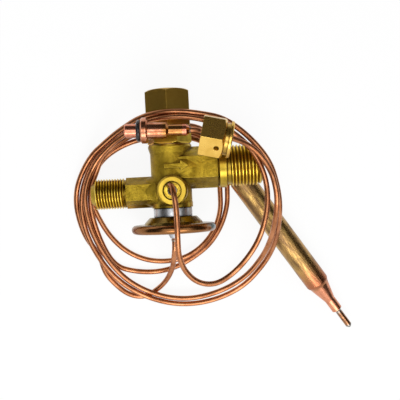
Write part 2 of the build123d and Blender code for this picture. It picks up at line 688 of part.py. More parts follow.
with BuildPart() as inlet_strainer:
    revolve(outline([
        (STRAINER_RIM_X, INLET_BORE_R - FIT),
        (STRAINER_RIM_X, INLET_BORE_R - FIT - STRAINER_WALL),
        (STRAINER_TIP_X - STRAINER_WALL, STRAINER_TIP_R - STRAINER_WALL),
        (STRAINER_TIP_X - STRAINER_WALL, 0),
        (STRAINER_TIP_X, 0),
        (STRAINER_TIP_X, STRAINER_TIP_R),
        (STRAINER_RIM_X + STRAINER_RIM_T, INLET_BORE_R - FIT - STRAINER_WALL / 2),
        (STRAINER_RIM_X + STRAINER_RIM_T, INLET_BORE_R - FIT),
    ]), axis=Axis.X)

# Equaliser end fitting, built upright with its tip at the bottom
BEAD_Z = PILOT_L + 2 * SEAL_RING_R
STEM_Z = BEAD_Z + BEAD_L
SHANK_Z = STEM_Z + STEM_L
SHANK_END_Z = SHANK_Z + SHANK_L
FITTING_L = SHANK_END_Z + SHANK_CONE_L
with BuildPart() as equaliser_end:
    revolve(outline([
        (PILOT_BORE_R, 0),
        (PILOT_R - PILOT_CHAMFER, 0),
        (PILOT_R, PILOT_CHAMFER),
        (PILOT_R, PILOT_L),
        (PILOT_R - SEAL_GROOVE, PILOT_L),
        (PILOT_R - SEAL_GROOVE, BEAD_Z),
        (BEAD_R - BEAD_CHAMFER, BEAD_Z),
        (BEAD_R, BEAD_Z + BEAD_CHAMFER),
        (BEAD_R, STEM_Z - BEAD_CHAMFER),
        (BEAD_R - BEAD_CHAMFER, STEM_Z),
        (STEM_R, STEM_Z),
        (STEM_R, SHANK_Z - STEM_SLOPE_START),
        (SHANK_R, SHANK_Z + STEM_SLOPE_END),
        (SHANK_R, SHANK_END_Z),
        (SHANK_END_R, FITTING_L),
        (TUBE_R + FIT, FITTING_L),
        (TUBE_R + FIT, FITTING_L - TUBE_INSERT),
        (GAS_HOLE_R, FITTING_L - TUBE_INSERT),
        (GAS_HOLE_R, PILOT_BORE_L + PILOT_BORE_R - GAS_HOLE_R),
        (PILOT_BORE_R, PILOT_BORE_L),
    ]), axis=Axis.Z)

with BuildPart() as equaliser_oring:
    with BuildSketch(Plane.XZ):
        with Locations((PILOT_R - SEAL_GROOVE + SEAL_RING_R, PILOT_L + SEAL_RING_R)):
            Circle(SEAL_RING_R)
    revolve(axis=Axis.Z)

# Flare nut, built upright with its mouth at the bottom
NUT_CORNER_R = across_corners(NUT_FLATS)
NUT_SEAT_L = NUT_BORE_L + NUT_BORE_R - NUT_HOLE_R
VENT_ANGLE = radians(NUT_ROLL + 210)
with BuildPart() as equaliser_nut:
    extrude(hexagon(NUT_FLATS, Plane.XY, NUT_ROLL), amount=NUT_L)
    revolve(outline([
        (0, 0),
        (NUT_CORNER_R - NUT_CORNER_CUT_R, 0),
        (NUT_CORNER_R, NUT_CORNER_CUT_L),
        (NUT_CORNER_R, NUT_L - NUT_CHAMFER),
        (NUT_FLATS / 2 - NUT_CHAMFER_INSET, NUT_L),
        (0, NUT_L),
    ]), axis=Axis.Z, mode=Mode.INTERSECT)
    revolve(outline([
        (0, 0),
        (NUT_BORE_R + NUT_MOUTH_CHAMFER, 0),
        (NUT_BORE_R, NUT_MOUTH_CHAMFER),
        (NUT_BORE_R, NUT_BORE_L),
        (NUT_HOLE_R, NUT_SEAT_L),
        (NUT_HOLE_R, NUT_L),
        (0, NUT_L),
    ]), axis=Axis.Z, mode=Mode.SUBTRACT)
    # vent hole in the middle of one flat
    with BuildSketch(Plane(origin=(0, 0, 0), x_dir=(-sin(VENT_ANGLE), cos(VENT_ANGLE), 0),
                           z_dir=(cos(VENT_ANGLE), sin(VENT_ANGLE), 0))):
        with Locations((0, NUT_VENT_FROM_MOUTH)):
            Circle(NUT_VENT_R)
    extrude(amount=NUT_CORNER_R, mode=Mode.SUBTRACT)

# Sensing bulb, built upright from the shoulder at its tube end
BULB_START_Z = -BULB_CONE_L - BULB_NECK_L
BULB_TAIL_Z = BULB_BODY_L + BULB_SHOULDER_L + BULB_TAPER_L
BULB_END_Z = BULB_TAIL_Z + BULB_TAIL_L
with BuildPart() as sensing_bulb:
    with BuildSketch(Plane.XZ):
        with BuildLine():
            Polyline(
                (BULB_R, BULB_BODY_L),
                (BULB_R, 0),
                (BULB_R - BULB_EDGE, -BULB_EDGE_L),
                (BULB_NECK_R, -BULB_CONE_L),
                (BULB_NECK_R, BULB_START_Z),
                (TUBE_R + FIT, BULB_START_Z),
                (TUBE_R + FIT, BULB_START_Z + TUBE_INSERT),
                (0, BULB_START_Z + TUBE_INSERT),
                (0, BULB_END_Z - TUBE_INSERT),
                (CHARGE_R + FIT, BULB_END_Z - TUBE_INSERT),
                (CHARGE_R + FIT, BULB_END_Z),
                (BULB_TAIL_R, BULB_END_Z),
                (BULB_TAIL_R, BULB_TAIL_Z),
                (BULB_SHOULDER_R, BULB_BODY_L + BULB_SHOULDER_L),
            )
            Spline(
                (BULB_SHOULDER_R, BULB_BODY_L + BULB_SHOULDER_L),
                (BULB_R, BULB_BODY_L),
                tangents=[(BULB_SHOULDER_R - BULB_TAIL_R, -BULB_TAPER_L), (0, -1)],
            )
        make_face()
    revolve(axis=Axis.Z)

# Charge tube, sealed with a rounded end
CHARGE_END_Z = BULB_END_Z + CHARGE_L
with BuildPart() as bulb_charge_tube:
    revolve(outline([
        (0, BULB_END_Z - TUBE_INSERT),
        (CHARGE_R, BULB_END_Z - TUBE_INSERT),
        (CHARGE_R, CHARGE_END_Z - CHARGE_PINCH_L),
        (CHARGE_END_R, CHARGE_END_Z),
        (0, CHARGE_END_Z),
    ]), axis=Axis.Z)

# The attitude in which it lies, and the place of the free pieces
REST_LEVER = CAP_CORNER_R * cos(radians(ROLL)) - RIM_CENTRE_R
REST_SPAN = REST_Z - RIM_Z
REST_RISE = 2 * TUBE_R + 2 * FLOOR_GAP - EDGE_R
PITCH = degrees(acos(REST_RISE / (REST_LEVER ** 2 + REST_SPAN ** 2) ** 0.5) - atan2(REST_SPAN, -REST_LEVER))
HEIGHT = EDGE_R + RIM_CENTRE_R * cos(radians(PITCH)) + RIM_Z * sin(radians(PITCH))
TURNED = Location((0, 0, HEIGHT)) * Rot(-90 - PITCH, 0, 0) * Rot(0, 0, -ROLL)
OUTERMOST = (valve_body, seal_cap, head_cover, head_upper_cup)
boxes = [piece.part.moved(TURNED).bounding_box() for piece in OUTERMOST]
CENTRE_X = (min(box.min.X for box in boxes) + max(box.max.X for box in boxes)) / 2
CENTRE_Y = (min(box.min.Y for box in boxes) + max(box.max.Y for box in boxes)) / 2
LYING = Location((-CENTRE_X, -CENTRE_Y, 0)) * TURNED


def pointing(position, heading, climb):
    """Turns an upright piece to lie along a heading and a climb, from a place."""
    return Location(position) * Rot(0, 0, heading) * Rot(0, 90 - climb, 0)


FITTING_PLACE = pointing(FITTING_TIP, FITTING_HEADING, FITTING_CLIMB)
NUT_PLACE = pointing(NUT_MOUTH, NUT_HEADING, NUT_CLIMB)
BULB_PLACE = pointing((*BULB_SHOULDER, BULB_R + FLOOR_GAP), BULB_HEADING, 0)


def placed(location, x, y, z):
    """A point of an upright piece, once the piece is in its place."""
    return (location * Location((x, y, z))).position


def tube(route):
    """A round tube along straight runs, joined by the largest arcs that the runs leave room for."""
    radii = []
    for before, corner, after in zip(route, route[1:], route[2:]):
        run_in = corner - before
        run_out = after - corner
        half_turn = radians(run_in.get_angle(run_out)) / 2
        radii.append(ARC_SHARE * min(run_in.length, run_out.length) / tan(half_turn))
    with BuildPart() as part:
        with BuildLine() as path:
            FilletPolyline(*route, radius=radii)
        with BuildSketch(Plane(origin=route[0], z_dir=route[1] - route[0])):
            Circle(TUBE_R)
        sweep(path=path.line)
    return part


# Equaliser tube: out of the boss, nearly twice round the valve, and into its end fitting
EQUALISER_ROUTE = [
    placed(LYING, PORT_X, -BUSH_FACE + TUBE_INSERT, PORT_Z),
    placed(LYING, PORT_X, -BUSH_FACE - EXIT_RUN, PORT_Z),
    (-6.2, -9.6, 43.0),
    (-5.6, -13.6, 46.4),
    (-4.9, -19.8, 47.5),
    (-4.8, -27.9, 48.5),
    (-4.7, -36.4, 47.1),
    (-4.1, -45.2, 43.9),
    (-0.3, -54.1, 39.5),
    (6.8, -60.7, 36.7),
    (15.8, -62.0, 35.3),
    (24.5, -57.4, 34.5),
    (31.8, -50.1, 35.5),
    (37.8, -40.5, 37.6),
    (41.2, -29.5, 39.7),
    (42.6, -18.6, 40.4),
    (41.6, -7.7, 39.7),
    (37.6, 2.5, 38.5),
    (31.5, 10.4, 38.0),
    (22.9, 16.9, 37.5),
    (13.2, 21.3, 35.9),
    (2.5, 23.4, 34.5),
    (-8.8, 23.1, 30.7),
    (-18.2, 20.9, 23.9),
    (-26.6, 15.2, 17.0),
    (-32.8, 11.0, 12.6),
    (-42.6, 1.0, 7.0),
    (-49.3, -16.2, 5.5),
    (-46.4, -34.6, 4.9),
    (-38.2, -51.5, 4.5),
    (-29.5, -62.2, 4.6),
    (-19.9, -69.1, 4.7),
    (-7.7, -74.4, 4.7),
    (4.7, -76.3, 4.9),
    (17.1, -74.9, 5.1),
    (29.0, -70.6, 6.6),
    (38.4, -63.0, 11.4),
    (45.0, -52.5, 17.3),
    (46.9, -44.0, 24.7),
    (47.2, -35.5, 32.8),
    (47.0, -26.5, 39.3),
    (46.8, -18.4, 42.3),
    (45.3, -10.9, 43.9),
    (43.5, -4.6, 43.0),
    (38.4, 3.6, 42.6),
    (31.6, 9.0, 43.7),
    (25.1, 11.6, 47.4),
    (19.1, 12.9, 48.9),
    (11.3, 14.8, 47.9),
    placed(FITTING_PLACE, 0, 0, FITTING_L + 5.0),
    placed(FITTING_PLACE, 0, 0, FITTING_L - TUBE_INSERT),
]
equaliser_capillary = tube([Vector(point) for point in EQUALISER_ROUTE])

# Sensing tube: out of the head, and round the valve in loose turns to the bulb
SENSING_ROUTE = [
    placed(LYING, 0, 0, FERRULE_FLOOR_Z),
    placed(LYING, 0, 0, FERRULE_END_Z - 4.0),
    (-3.5, -48.1, 20.6),
    (-3.8, -56.6, 13.4),
    (-6.3, -64.2, 6.7),
    (-11.1, -70.3, 1.7),
    (-18.6, -74.4, 1.45),
    (-27.1, -72.5, 1.5),
    (-34.3, -66.2, 1.5),
    (-39.9, -58.8, 1.45),
    (-42.0, -48.7, 1.5),
    (-50.4, -37.3, 1.45),
    (-54.2, -16.0, 1.5),
    (-45.8, 3.3, 6.0),
    (-34.5, 13.2, 12.0),
    (-28.3, 17.9, 16.1),
    (-18.7, 23.9, 23.8),
    (-9.0, 25.9, 29.8),
    (1.2, 26.1, 32.4),
    (11.5, 24.5, 34.1),
    (21.6, 22.1, 35.7),
    (30.8, 15.6, 36.7),
    (38.5, 7.7, 37.9),
    (44.3, -1.0, 39.5),
    (47.2, -10.9, 40.2),
    (49.2, -22.1, 38.7),
    (50.1, -34.2, 31.6),
    (51.1, -42.0, 22.9),
    (50.4, -50.7, 15.2),
    (46.5, -59.1, 10.6),
    (38.0, -69.9, 5.8),
    (26.9, -76.0, 4.4),
    (14.2, -79.1, 4.4),
    (1.1, -79.2, 4.5),
    (-10.8, -76.4, 4.6),
    (-21.5, -71.5, 4.6),
    (-31.5, -64.6, 4.4),
    (-40.9, -53.5, 4.4),
    (-49.5, -35.5, 4.5),
    (-50.8, -16.5, 2.4),
    (-43.8, 1.4, 1.5),
    (-33.5, 11.8, 2.0),
    (-26.7, 16.9, 1.9),
    (-17.2, 19.2, 1.8),
    (-7.2, 19.3, 1.5),
    (3.6, 19.4, 1.5),
    (13.7, 18.6, 1.45),
    (22.8, 13.0, 1.5),
    (28.5, 4.8, 1.45),
    (29.8, -5.3, 1.5),
    (29.7, -16.1, 1.45),
    (29.5, -25.8, 1.5),
    (25.9, -36.8, 1.45),
    (19.2, -46.8, 1.5),
    (9.9, -53.6, 1.5),
    (-0.8, -58.9, 1.5),
    (-12.0, -60.8, 1.5),
    (-23.8, -59.5, 1.6),
    (-33.9, -55.9, 1.6),
    (-40.9, -43.0, 2.1),
    (-45.8, -24.6, 4.0),
    (-45.0, -12.2, 4.7),
    (-42.3, -5.8, 4.9),
    (-38.0, 4.7, 5.1),
    (-28.9, 11.2, 4.3),
    (-19.3, 15.9, 2.0),
    (-8.9, 16.4, 1.6),
    (1.8, 16.5, 1.5),
    (12.2, 15.0, 1.5),
    (20.2, 10.0, 1.5),
    (24.7, 2.1, 1.5),
    (25.3, -8.2, 1.5),
    (25.6, -18.1, 1.6),
    (25.7, -28.4, 1.45),
    (21.6, -39.2, 2.9),
    (13.8, -47.9, 4.3),
    (3.9, -53.7, 3.8),
    (-7.6, -55.2, 1.8),
    (-18.4, -53.2, 1.45),
    (-28.7, -47.4, 1.5),
    (-36.9, -38.1, 1.45),
    (-42.3, -27.4, 1.5),
    (-46.0, -16.9, 1.45),
    (-44.2, -6.7, 1.6),
    (-38.2, 2.4, 1.8),
    (-29.3, 8.5, 1.8),
    (-18.8, 12.3, 1.7),
    (-7.7, 13.5, 1.5),
    (1.8, 13.4, 1.45),
    (9.9, 12.4, 3.1),
    (15.9, 10.2, 5.8),
    (20.9, 7.1, 6.7),
    placed(BULB_PLACE, 0, 0, BULB_START_Z - 6.0),
    placed(BULB_PLACE, 0, 0, BULB_START_Z + TUBE_INSERT),
]
sensing_capillary = tube([Vector(point) for point in SENSING_ROUTE])

PIECES = {
    "valve_body": (valve_body, LYING),
    "orifice_seat": (orifice_seat, LYING),
    "valve_needle": (valve_needle, LYING),
    "needle_holder": (needle_holder, LYING),
    "push_rod": (push_rod, LYING),
    "buffer_plate": (buffer_plate, LYING),
    "rod_seal": (rod_seal, LYING),
    "seal_retainer": (seal_retainer, LYING),
    "equaliser_bush": (equaliser_bush, LYING),
    "bonnet_gasket": (bonnet_gasket, LYING),
    "bonnet": (bonnet, LYING),
    "adjusting_spindle": (adjusting_spindle, LYING),
    "spindle_oring": (spindle_oring, LYING),
    "spring_seat": (spring_seat, LYING),
    "superheat_spring": (superheat_spring, LYING),
    "cap_gasket": (cap_gasket, LYING),
    "seal_cap": (seal_cap, LYING),
    "head_ring": (head_ring, LYING),
    "head_upper_cup": (head_upper_cup, LYING),
    "diaphragm": (diaphragm, LYING),
    "head_cover": (head_cover, LYING),
    "head_ferrule": (head_ferrule, LYING),
    "inlet_strainer": (inlet_strainer, LYING),
    "equaliser_end": (equaliser_end, FITTING_PLACE),
    "equaliser_oring": (equaliser_oring, FITTING_PLACE),
    "equaliser_nut": (equaliser_nut, NUT_PLACE),
    "sensing_bulb": (sensing_bulb, BULB_PLACE),
    "bulb_charge_tube": (bulb_charge_tube, BULB_PLACE),
    "equaliser_capillary": (equaliser_capillary, Location()),
    "sensing_capillary": (sensing_capillary, Location()),
}

os.makedirs("parts", exist_ok=True)
for name, (piece, place) in PIECES.items():
    lying_piece = piece.part.moved(place)
    lying_piece.label = name
    export_step(lying_piece, f"parts/{name}.step")
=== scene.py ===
from math import pi, radians

import bmesh
import bpy
from mathutils import Matrix, Vector


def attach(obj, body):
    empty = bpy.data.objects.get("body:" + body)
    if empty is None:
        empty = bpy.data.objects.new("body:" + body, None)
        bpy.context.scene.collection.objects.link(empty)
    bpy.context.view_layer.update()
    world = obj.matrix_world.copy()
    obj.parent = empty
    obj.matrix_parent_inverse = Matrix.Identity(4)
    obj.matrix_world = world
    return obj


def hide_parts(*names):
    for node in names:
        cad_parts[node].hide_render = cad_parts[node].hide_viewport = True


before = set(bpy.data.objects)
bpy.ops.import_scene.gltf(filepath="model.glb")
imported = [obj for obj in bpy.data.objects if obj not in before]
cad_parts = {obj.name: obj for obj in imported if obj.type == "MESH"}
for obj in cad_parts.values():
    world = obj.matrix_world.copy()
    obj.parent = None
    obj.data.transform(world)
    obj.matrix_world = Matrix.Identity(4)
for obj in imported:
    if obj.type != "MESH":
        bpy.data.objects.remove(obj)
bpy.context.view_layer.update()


# Camera: it looks almost straight down on the valve as it lies, from a little towards the inlet and
# the cap, so that the cap stands upright in its view. Nothing is out of focus.
camera_lens = bpy.data.cameras.new("camera")
camera_lens.lens = 60.577
camera_lens.sensor_width = 36.0
camera = bpy.data.objects.new("camera", camera_lens)
camera.matrix_world = Matrix((
    (0.98633, 0.05169, -0.15643, -0.04393),
    (-0.03527, 0.99374, 0.10598, 0.01729),
    (0.16093, -0.09901, 0.98199, 0.36617),
    (0, 0, 0, 1),
))
bpy.context.scene.collection.objects.link(camera)
bpy.context.scene.camera = camera
bpy.context.scene.view_settings.view_transform = "Standard"


# Floor and light: a pale table under a wide soft lamp beyond the head of the valve, a weaker one over
# the inlet, and black cards round the table, which only reflections show, as for any shiny thing.
def put(tree, kind, inputs, **settings):
    """One shader node with its settings, and its inputs as plain values or sockets of other nodes."""
    made = tree.nodes.new("ShaderNode" + kind)
    for key, value in settings.items():
        setattr(made, key, value)
    for key, value in inputs.items():
        if isinstance(value, bpy.types.NodeSocket):
            tree.links.new(value, made.inputs[key])
        else:
            made.inputs[key].default_value = value
    return made


def seen_directly(tree):
    """1 for the camera, for mirror reflections and through glass, 0 for the light on the object."""
    path = put(tree, "LightPath", {}).outputs
    seen = put(tree, "Math", {0: path["Is Camera Ray"], 1: path["Is Glossy Ray"]}, operation="MAXIMUM")
    return put(tree, "Math", {0: seen.outputs[0], 1: path["Is Transmission Ray"]},
               operation="MAXIMUM").outputs[0]


ROOM_LIGHT = 0.55
world = bpy.data.worlds.new("room")
world.use_nodes = True
room = world.node_tree
room_level = put(room, "MapRange", {"Value": seen_directly(room), "To Min": ROOM_LIGHT, "To Max": 1.0})
room.links.new(room_level.outputs[0], room.nodes["Background"].inputs["Strength"])
room.nodes["Background"].inputs["Color"].default_value = (1, 1, 1, 1)
bpy.context.scene.world = world

FLOOR_SIDE = 4.0
FLOOR_GLOW = 0.85
FLOOR_GREY = (0.84, 0.84, 0.84, 1)
FLOOR_LEVEL = 1.05
CARD_BLACK = (0.06, 0.05, 0.04, 1)
table = bmesh.new()
bmesh.ops.create_grid(table, x_segments=1, y_segments=1, size=FLOOR_SIDE / 2)
floor_mesh = bpy.data.meshes.new("floor")
table.to_mesh(floor_mesh)
floor = bpy.data.objects.new("floor", floor_mesh)
bpy.context.scene.collection.objects.link(floor)
floor_paper = bpy.data.materials.new("floor_paper")
floor_paper.use_nodes = True
paper = floor_paper.node_tree
paper.nodes.remove(paper.nodes["Principled BSDF"])
paper_share = put(paper, "Math", {0: seen_directly(paper), 1: FLOOR_GLOW}, operation="MULTIPLY")
paper_mix = put(paper, "MixShader", {
    0: paper_share.outputs[0],
    1: put(paper, "BsdfDiffuse", {"Color": FLOOR_GREY}).outputs[0],
    2: put(paper, "Emission", {"Color": (1, 1, 1, 1), "Strength": FLOOR_LEVEL}).outputs[0],
})
paper.links.new(paper_mix.outputs[0], paper.nodes["Material Output"].inputs["Surface"])
floor_mesh.materials.append(floor_paper)

black_card = bpy.data.materials.new("black_card")
black_card.use_nodes = True
black_card.node_tree.nodes["Principled BSDF"].inputs["Base Color"].default_value = CARD_BLACK


def stand_card(name, width, height, place, aim):
    """A black card at place, facing aim, that only reflections show."""
    sheet = bmesh.new()
    bmesh.ops.create_grid(sheet, x_segments=1, y_segments=1, size=0.5)
    bmesh.ops.scale(sheet, vec=(width, height, 1), verts=sheet.verts)
    mesh = bpy.data.meshes.new(name)
    turn = (Vector(aim) - Vector(place)).to_track_quat("Z", "Y").to_matrix().to_4x4()
    bmesh.ops.transform(sheet, matrix=Matrix.Translation(place) @ turn, verts=sheet.verts)
    sheet.to_mesh(mesh)
    mesh.materials.append(black_card)
    card = bpy.data.objects.new(name, mesh)
    bpy.context.scene.collection.objects.link(card)
    card.visible_camera = False
    card.visible_diffuse = False
    card.visible_transmission = False
    card.visible_shadow = False


TABLE_MIDDLE = (0, 0, 0.02)
stand_card("card_far", 0.9, 0.42, (0.05, 0.30, 0.20), TABLE_MIDDLE)
stand_card("card_left", 0.6, 0.36, (-0.34, 0.0, 0.19), TABLE_MIDDLE)
stand_card("card_right", 0.6, 0.36, (0.36, 0.0, 0.19), TABLE_MIDDLE)
stand_card("card_over", 0.36, 0.30, (0.0, 0.30, 0.52), TABLE_MIDDLE)


def hang_lamp(name, watts, width, height, place):
    """A soft rectangular lamp at place, facing the middle of the table."""
    light = bpy.data.lights.new(name, "AREA")
    light.shape = "RECTANGLE"
    light.size = width
    light.size_y = height
    light.energy = watts
    lamp = bpy.data.objects.new(name, light)
    turn = (Vector(place) - Vector(TABLE_MIDDLE)).to_track_quat("Z", "Y").to_matrix().to_4x4()
    lamp.matrix_world = Matrix.Translation(place) @ turn
    bpy.context.scene.collection.objects.link(lamp)


hang_lamp("lamp_foot", 1.2, 0.42, 0.26, (0.02, -0.34, 0.46))
hang_lamp("lamp_over", 0.32, 0.22, 0.22, (-0.10, 0.03, 0.60))


# Equaliser tube: 2.8 mm copper capillary, half a metre long. It comes out of the boss, bends down
# over the body and goes nearly twice round the valve in big loose turns to its end fitting.
TUBE_ACROSS = 0.0028
EQUALISER_POINTS = [
    (-0.00535, -0.01100, 0.02913), (-0.00664, -0.01013, 0.03718), (-0.00620, -0.00960, 0.04300),
    (-0.00560, -0.01360, 0.04640), (-0.00490, -0.01980, 0.04750), (-0.00480, -0.02790, 0.04850),
    (-0.00470, -0.03640, 0.04710), (-0.00410, -0.04520, 0.04390), (-0.00030, -0.05410, 0.03950),
    (0.00680, -0.06070, 0.03670), (0.01580, -0.06200, 0.03530), (0.02450, -0.05740, 0.03450),
    (0.03180, -0.05010, 0.03550), (0.03780, -0.04050, 0.03760), (0.04120, -0.02950, 0.03970),
    (0.04260, -0.01860, 0.04040), (0.04160, -0.00770, 0.03970), (0.03760, 0.00250, 0.03850),
    (0.03150, 0.01040, 0.03800), (0.02290, 0.01690, 0.03750), (0.01320, 0.02130, 0.03590),
    (0.00250, 0.02340, 0.03450), (-0.00880, 0.02310, 0.03070), (-0.01820, 0.02090, 0.02390),
    (-0.02660, 0.01520, 0.01700), (-0.03280, 0.01100, 0.01260), (-0.04260, 0.00100, 0.00700),
    (-0.04930, -0.01620, 0.00550), (-0.04640, -0.03460, 0.00490), (-0.03820, -0.05150, 0.00450),
    (-0.02950, -0.06220, 0.00460), (-0.01990, -0.06910, 0.00470), (-0.00770, -0.07440, 0.00470),
    (0.00470, -0.07630, 0.00490), (0.01710, -0.07490, 0.00510), (0.02900, -0.07060, 0.00660),
    (0.03840, -0.06300, 0.01140), (0.04500, -0.05250, 0.01730), (0.04690, -0.04400, 0.02470),
    (0.04720, -0.03550, 0.03280), (0.04700, -0.02650, 0.03930), (0.04680, -0.01840, 0.04230),
    (0.04530, -0.01090, 0.04390), (0.04350, -0.00460, 0.04300), (0.03840, 0.00360, 0.04260),
    (0.03160, 0.00900, 0.04370), (0.02510, 0.01160, 0.04740), (0.01910, 0.01290, 0.04890),
    (0.01130, 0.01480, 0.04790), (0.00863, 0.01657, 0.04309), (0.00212, 0.01669, 0.04204),
]


def group_of(name, inputs, outputs):
    """An empty node group with its sockets, and the sockets of its two end nodes."""
    group = bpy.data.node_groups.new(name, "ShaderNodeTree")
    for socket, kind in inputs:
        group.interface.new_socket(socket, in_out="INPUT", socket_type="NodeSocket" + kind)
    for socket, kind in outputs:
        group.interface.new_socket(socket, in_out="OUTPUT", socket_type="NodeSocket" + kind)
    return group, group.nodes.new("NodeGroupInput").outputs, group.nodes.new("NodeGroupOutput").inputs


def grouped(tree, group, inputs):
    """The outputs of a node group placed in a material with its own values."""
    made = tree.nodes.new("ShaderNodeGroup")
    made.node_tree = group
    for key, value in inputs.items():
        if isinstance(value, bpy.types.NodeSocket):
            tree.links.new(value, made.inputs[key])
        else:
            made.inputs[key].default_value = value
    return made.outputs


def ramp(tree, value, start, end):
    """0 where the value is at start or before it, 1 from end on, and a straight rise between."""
    return put(tree, "MapRange", {"Value": value, "From Min": start, "From Max": end}).outputs[0]


def mixed(tree, mask, first, second):
    """The first colour where the mask is 0, the second where it is 1."""
    return put(tree, "Mix", {0: mask, 6: first, 7: second}, data_type="RGBA").outputs[2]


# stains: cloudy patches of a given size in millimetres, for tarnish and heat colours
stains, stains_in, stains_out = group_of(
    "stains", [("Place", "Vector"), ("Size", "Float")], [("Mask", "Float")])
stains_scale = put(stains, "Math", {0: 1.0, 1: stains_in["Size"]}, operation="DIVIDE")
stains_cloud = put(stains, "TexNoise", {
    "Vector": stains_in["Place"], "Scale": stains_scale.outputs[0], "Detail": 4.0, "Roughness": 0.62})
stains.links.new(ramp(stains, stains_cloud.outputs["Fac"], 0.38, 0.64), stains_out["Mask"])


def new_finish(name, roughness, metallic=1.0):
    """A material with its tree and its shader's inputs, as metal unless it is told otherwise."""
    material = bpy.data.materials.new(name)
    material.use_nodes = True
    shader = material.node_tree.nodes["Principled BSDF"].inputs
    shader["Metallic"].default_value = metallic
    shader["Roughness"].default_value = roughness
    return material, material.node_tree, shader


def millimetres(tree, start=(0, 0, 0), turn=(0, 0, 0)):
    """The point in millimetres from start, a place in metres, along axes turned by an euler."""
    made = put(tree, "Mapping", {
        "Vector": put(tree, "TexCoord", {}).outputs["Object"],
        "Location": start, "Rotation": turn, "Scale": (0.001, 0.001, 0.001),
    }, vector_type="TEXTURE")
    return made.outputs[0]


def roughened(tree, shader, height, depth):
    """The surface follows a height map; depth is in metres."""
    bump = put(tree, "Bump", {"Height": height, "Distance": depth, "Strength": 1.0})
    tree.links.new(bump.outputs["Normal"], shader["Normal"])


def varied(tree, mask, low, high):
    """A number that goes from low to high with the mask."""
    return put(tree, "MapRange", {"Value": mask, "To Min": low, "To Max": high}).outputs[0]


TUBE_BRIGHT = (0.56, 0.235, 0.105, 1)
TUBE_DULL = (0.34, 0.125, 0.05, 1)
tube_copper, tube_tree, tube_shader = new_finish("tube_copper", 0.25)
tube_place = millimetres(tube_tree)
tube_stain = grouped(tube_tree, stains, {"Place": tube_place, "Size": 9.0})["Mask"]
tube_speck = grouped(tube_tree, stains, {"Place": tube_place, "Size": 0.7})["Mask"]
tube_tree.links.new(mixed(tube_tree, tube_stain, TUBE_BRIGHT, TUBE_DULL), tube_shader["Base Color"])
tube_tree.links.new(varied(tube_tree, tube_stain, 0.26, 0.40), tube_shader["Roughness"])
roughened(tube_tree, tube_shader, tube_speck, 0.000003)


def bend_tube(name, points):
    """A round tube whose middle line is a smooth spline on the route's points."""
    curve = bpy.data.curves.new(name, "CURVE")
    curve.dimensions = "3D"
    line = curve.splines.new("NURBS")
    line.points.add(len(points) - 1)
    for control, point in zip(line.points, points):
        control.co = (*point, 1)
    line.order_u = 3
    line.use_endpoint_u = True
    line.resolution_u = 10
    curve.bevel_depth = TUBE_ACROSS / 2
    curve.bevel_resolution = 6
    curve.use_fill_caps = True
    curve.materials.append(tube_copper)
    tube = bpy.data.objects.new(name, curve)
    bpy.context.scene.collection.objects.link(tube)
    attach(tube, "root")
    return tube


equaliser_tube = bend_tube("equaliser_tube", EQUALISER_POINTS)
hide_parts("equaliser_capillary")


